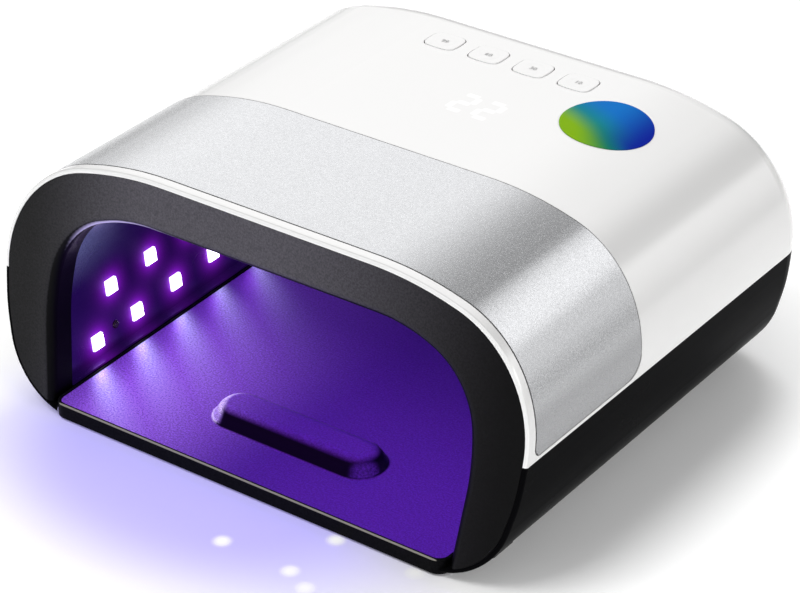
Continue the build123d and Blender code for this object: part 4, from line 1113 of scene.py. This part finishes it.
class LAMP_OT_build_stage(bpy.types.Operator):
    """Set up the table, the room, the lights and the camera"""

    bl_idname = "lamp.build_stage"
    bl_label = "Build Stage"

    def add_softbox(self, name, place, target, size, power, color=(1, 1, 1), shown=True):
        """An area light that looks from its place to its target"""
        data = bpy.data.lights.new(name, "AREA")
        data.shape = "RECTANGLE"
        data.size, data.size_y = size
        data.energy, data.color = power, color
        lamp = bpy.data.objects.new(name, data)
        bpy.context.scene.collection.objects.link(lamp)
        turn = (Vector(target) - Vector(place)).to_track_quat("-Z", "Y").to_matrix().to_4x4()
        lamp.matrix_world = Matrix.Translation(place) @ turn
        lamp.visible_camera = False
        lamp.visible_glossy = shown
        return lamp

    def light_room(self):
        """Two softboxes overhead, one on the right, and two that reach the silver band alone"""
        look = settings().studio
        for name, y, share in (("key_front", -0.75, 1.15), ("key_rear", 0.85, 0.85)):
            self.add_softbox(
                name, (-0.33, y, 1.3), (0, 0, 0.05), (0.6, 0.6), look.key_power * share, shown=False
            )
        self.add_softbox("fill_right", (1.6, -0.15, 0.95), (0, 0, 0.06), (1.5, 0.5), look.fill_power)
        band = bpy.data.collections.new("band_light_receivers")
        band.objects.link(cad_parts["front_band"])
        # Each one's place, size and share of the power
        for name, place, size, share in (
            ("band_light_right", (0.45, 1.0, 0.95), (0.85, 0.5), 1.0),
            ("band_light_left", (-0.95, 1.0, 0.75), (1.0, 0.7), 0.55),
        ):
            lamp = self.add_softbox(name, place, (0.03, -0.05, 0.09), size, look.band_power * share)
            lamp.light_linking.receiver_collection = band

    def light_chamber(self):
        """The lamps' own light: one sheet under the roof and one before each wall of lamps"""
        look = settings().glow
        low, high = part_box("led_board_top")
        x, y = (low.x + high.x) / 2, (low.y + high.y) / 2
        roof = (x, y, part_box("led_chips_top")[0].z - OFF_ROOF)
        size = (high.x - low.x, high.y - low.y)
        lamps = [
            self.add_softbox("roof_lamps", roof, (x, y, 0), size, look.roof_power, look.violet, False)
        ]
        for name, side in (("led_chips_left", -1), ("led_chips_right", 1)):
            low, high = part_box(name)
            x = (low.x if side > 0 else high.x) - side * OFF_WALL
            y, z = (low.y + high.y) / 2, (low.z + high.z) / 2
            size = (high.y - low.y, high.z - low.z)
            lamps.append(
                self.add_softbox(
                    f"{name}_light", (x, y, z), (0, y, 0), size, look.wall_power, look.violet, False
                )
            )
        for lamp in lamps:
            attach(lamp, "housing")

    def light_world(self):
        """A dim room with a bright wall behind on either side and a dark gap between them"""
        look = settings().studio
        world = bpy.data.worlds.new("room")
        bpy.context.scene.world = world
        world.use_nodes = True
        tree = world.node_tree
        backdrop = next(n for n in tree.nodes if n.type == "BACKGROUND")
        place = node(tree, "ShaderNodeTexCoord").outputs["Generated"]
        # The way that a ray leaves in: x to the right, y to the back, z up
        x, y, z = axes(tree, place)
        left = product(
            tree, spread(tree, x, -0.5, -0.16, look.left_wall, look.gap),
            spread(tree, x, -0.80, -0.66, 0.45, 1.0),
        )
        right = spread(tree, z, 0.0, 0.3, look.right_foot, look.right_wall)
        walls = blend_numbers(tree, spread(tree, x, 0.41, 0.56), left, right)
        patch = spread(tree, away_from(tree, place, DARK_PATCH), 0.10, 0.2, 0.15, 1.0)
        walls = product(tree, walls, patch)
        room = blend_numbers(tree, spread(tree, y, 0.1, 0.45), look.front, walls)
        room = blend_numbers(tree, spread(tree, z, 0.76, 0.86), room, look.sky)
        tree.links.new(room, backdrop.inputs["Color"])

    def lay_floor(self):
        """A white table, with the mouth's light painted on as a violet pool and five small painted light
        spots, and painted shade beside the lamp
        """
        look = settings().studio
        nothing_selected()
        bpy.ops.mesh.primitive_grid_add(x_subdivisions=8, y_subdivisions=8, size=look.floor_size)
        floor = bpy.context.object
        floor.name = "table"
        material, tree, shader = start_material("table_white", roughness=0.6)
        place = object_place(tree)
        (x, y), (half_x, half_y) = LIGHT_POOL
        pool = node(
            tree, "ShaderNodeMapping",
            {
                "Vector": place,
                "Location": (-x / half_x, -y / half_y, 0.0),
                "Scale": (1 / half_x, 1 / half_y, 1.0),
            },
        )
        pool_light = spread(tree, away_from(tree, pool.outputs["Vector"]), 0.42, 1.02, 1.0, 0.0)
        spots = [
            spread(tree, away_from(tree, place, (*spot, 0)), 0.7 * MM, 4.5 * MM, 1.0, 0.0)
            for spot in LIGHT_SPOTS
        ]
        # Painted pool of the mouth's light, and painted light spots
        color = blend_colors(tree, pool_light, rgba(look.floor), rgba(look.pool))
        color = blend_colors(tree, total(tree, *spots), color, (1, 1, 1, 1))
        soft = noise(tree, place, 0.01, 2)
        rays = node(tree, "ShaderNodeLightPath").outputs
        seen = largest(tree, *(rays[f"Is {kind} Ray"] for kind in ("Camera", "Glossy", "Transmission")))
        off = away_from(tree, place)
        # Painted shade: less light is added beside the lamp than away from it, so the table is darkest
        # there round the soft shadow, and the added light dims again far off; the painted pool adds its
        # own
        lift = product(
            tree, spread(tree, off, 0.117, 0.170, look.floor_lift, look.far_lift),
            spread(tree, off, 0.42, 0.8, 1.0, 0.6),
        )
        lift = work_out(tree, "MULTIPLY_ADD", pool_light, look.pool_lift, lift)
        plug(
            tree, shader, base_color=color, roughness=spread(tree, soft, 0.3, 0.7, 0.55, 0.65),
            emission_color=color, emission_strength=product(tree, seen, lift),
        )
        floor.data.materials.append(material)

    def set_camera(self):
        """A camera where the photograph was taken from"""
        look = settings().studio
        data = bpy.data.cameras.new("camera")
        data.sensor_width = SENSOR_WIDTH
        data.lens = look.focal_pixels * SENSOR_WIDTH / IMAGE_WIDTH
        data.clip_start, data.clip_end = 0.05, 60
        camera = bpy.data.objects.new("camera", data)
        bpy.context.scene.collection.objects.link(camera)
        camera.location = look.camera_place
        camera.rotation_euler = (math.radians(90) - look.camera_pitch, 0, look.camera_yaw)
        bpy.context.scene.camera = camera

    def execute(self, context):
        self.set_camera()
        self.lay_floor()
        self.light_world()
        self.light_room()
        self.light_chamber()
        context.scene.view_settings.view_transform = "Standard"
        return {"FINISHED"}


STEPS = (
    LAMP_OT_finish_shells,
    LAMP_OT_finish_chamber,
    LAMP_OT_add_lenses,
    LAMP_OT_finish_sticker,
    LAMP_OT_add_button_figures,
    LAMP_OT_finish_inner_parts,
    LAMP_OT_build_stage,
)


class LAMP_PT_dressing(bpy.types.Panel):
    """The lamp's steps in the sidebar"""

    bl_idname = "LAMP_PT_dressing"
    bl_label = "Nail Lamp"
    bl_space_type = "VIEW_3D"
    bl_region_type = "UI"
    bl_category = "Nail Lamp"

    def draw(self, context):
        for step in STEPS:
            self.layout.operator(step.bl_idname)


CLASSES = (
    LampShellFinish,
    LampGlow,
    LampSticker,
    LampFigures,
    LampStudio,
    LampSettings,
    *STEPS,
    LAMP_PT_dressing,
)


def register():
    """Make the classes and the settings known to Blender"""
    for cls in CLASSES:
        bpy.utils.register_class(cls)
    bpy.types.Scene.lamp_settings = bpy.props.PointerProperty(type=LampSettings)


def unregister():
    """Take the settings and the classes away again"""
    del bpy.types.Scene.lamp_settings
    for cls in reversed(CLASSES):
        bpy.utils.unregister_class(cls)


def main():
    """Dress the lamp"""
    register()
    for step in STEPS:
        group, name = step.bl_idname.split(".")
        getattr(getattr(bpy.ops, group), name)()


if __name__ == "__main__":
    main()
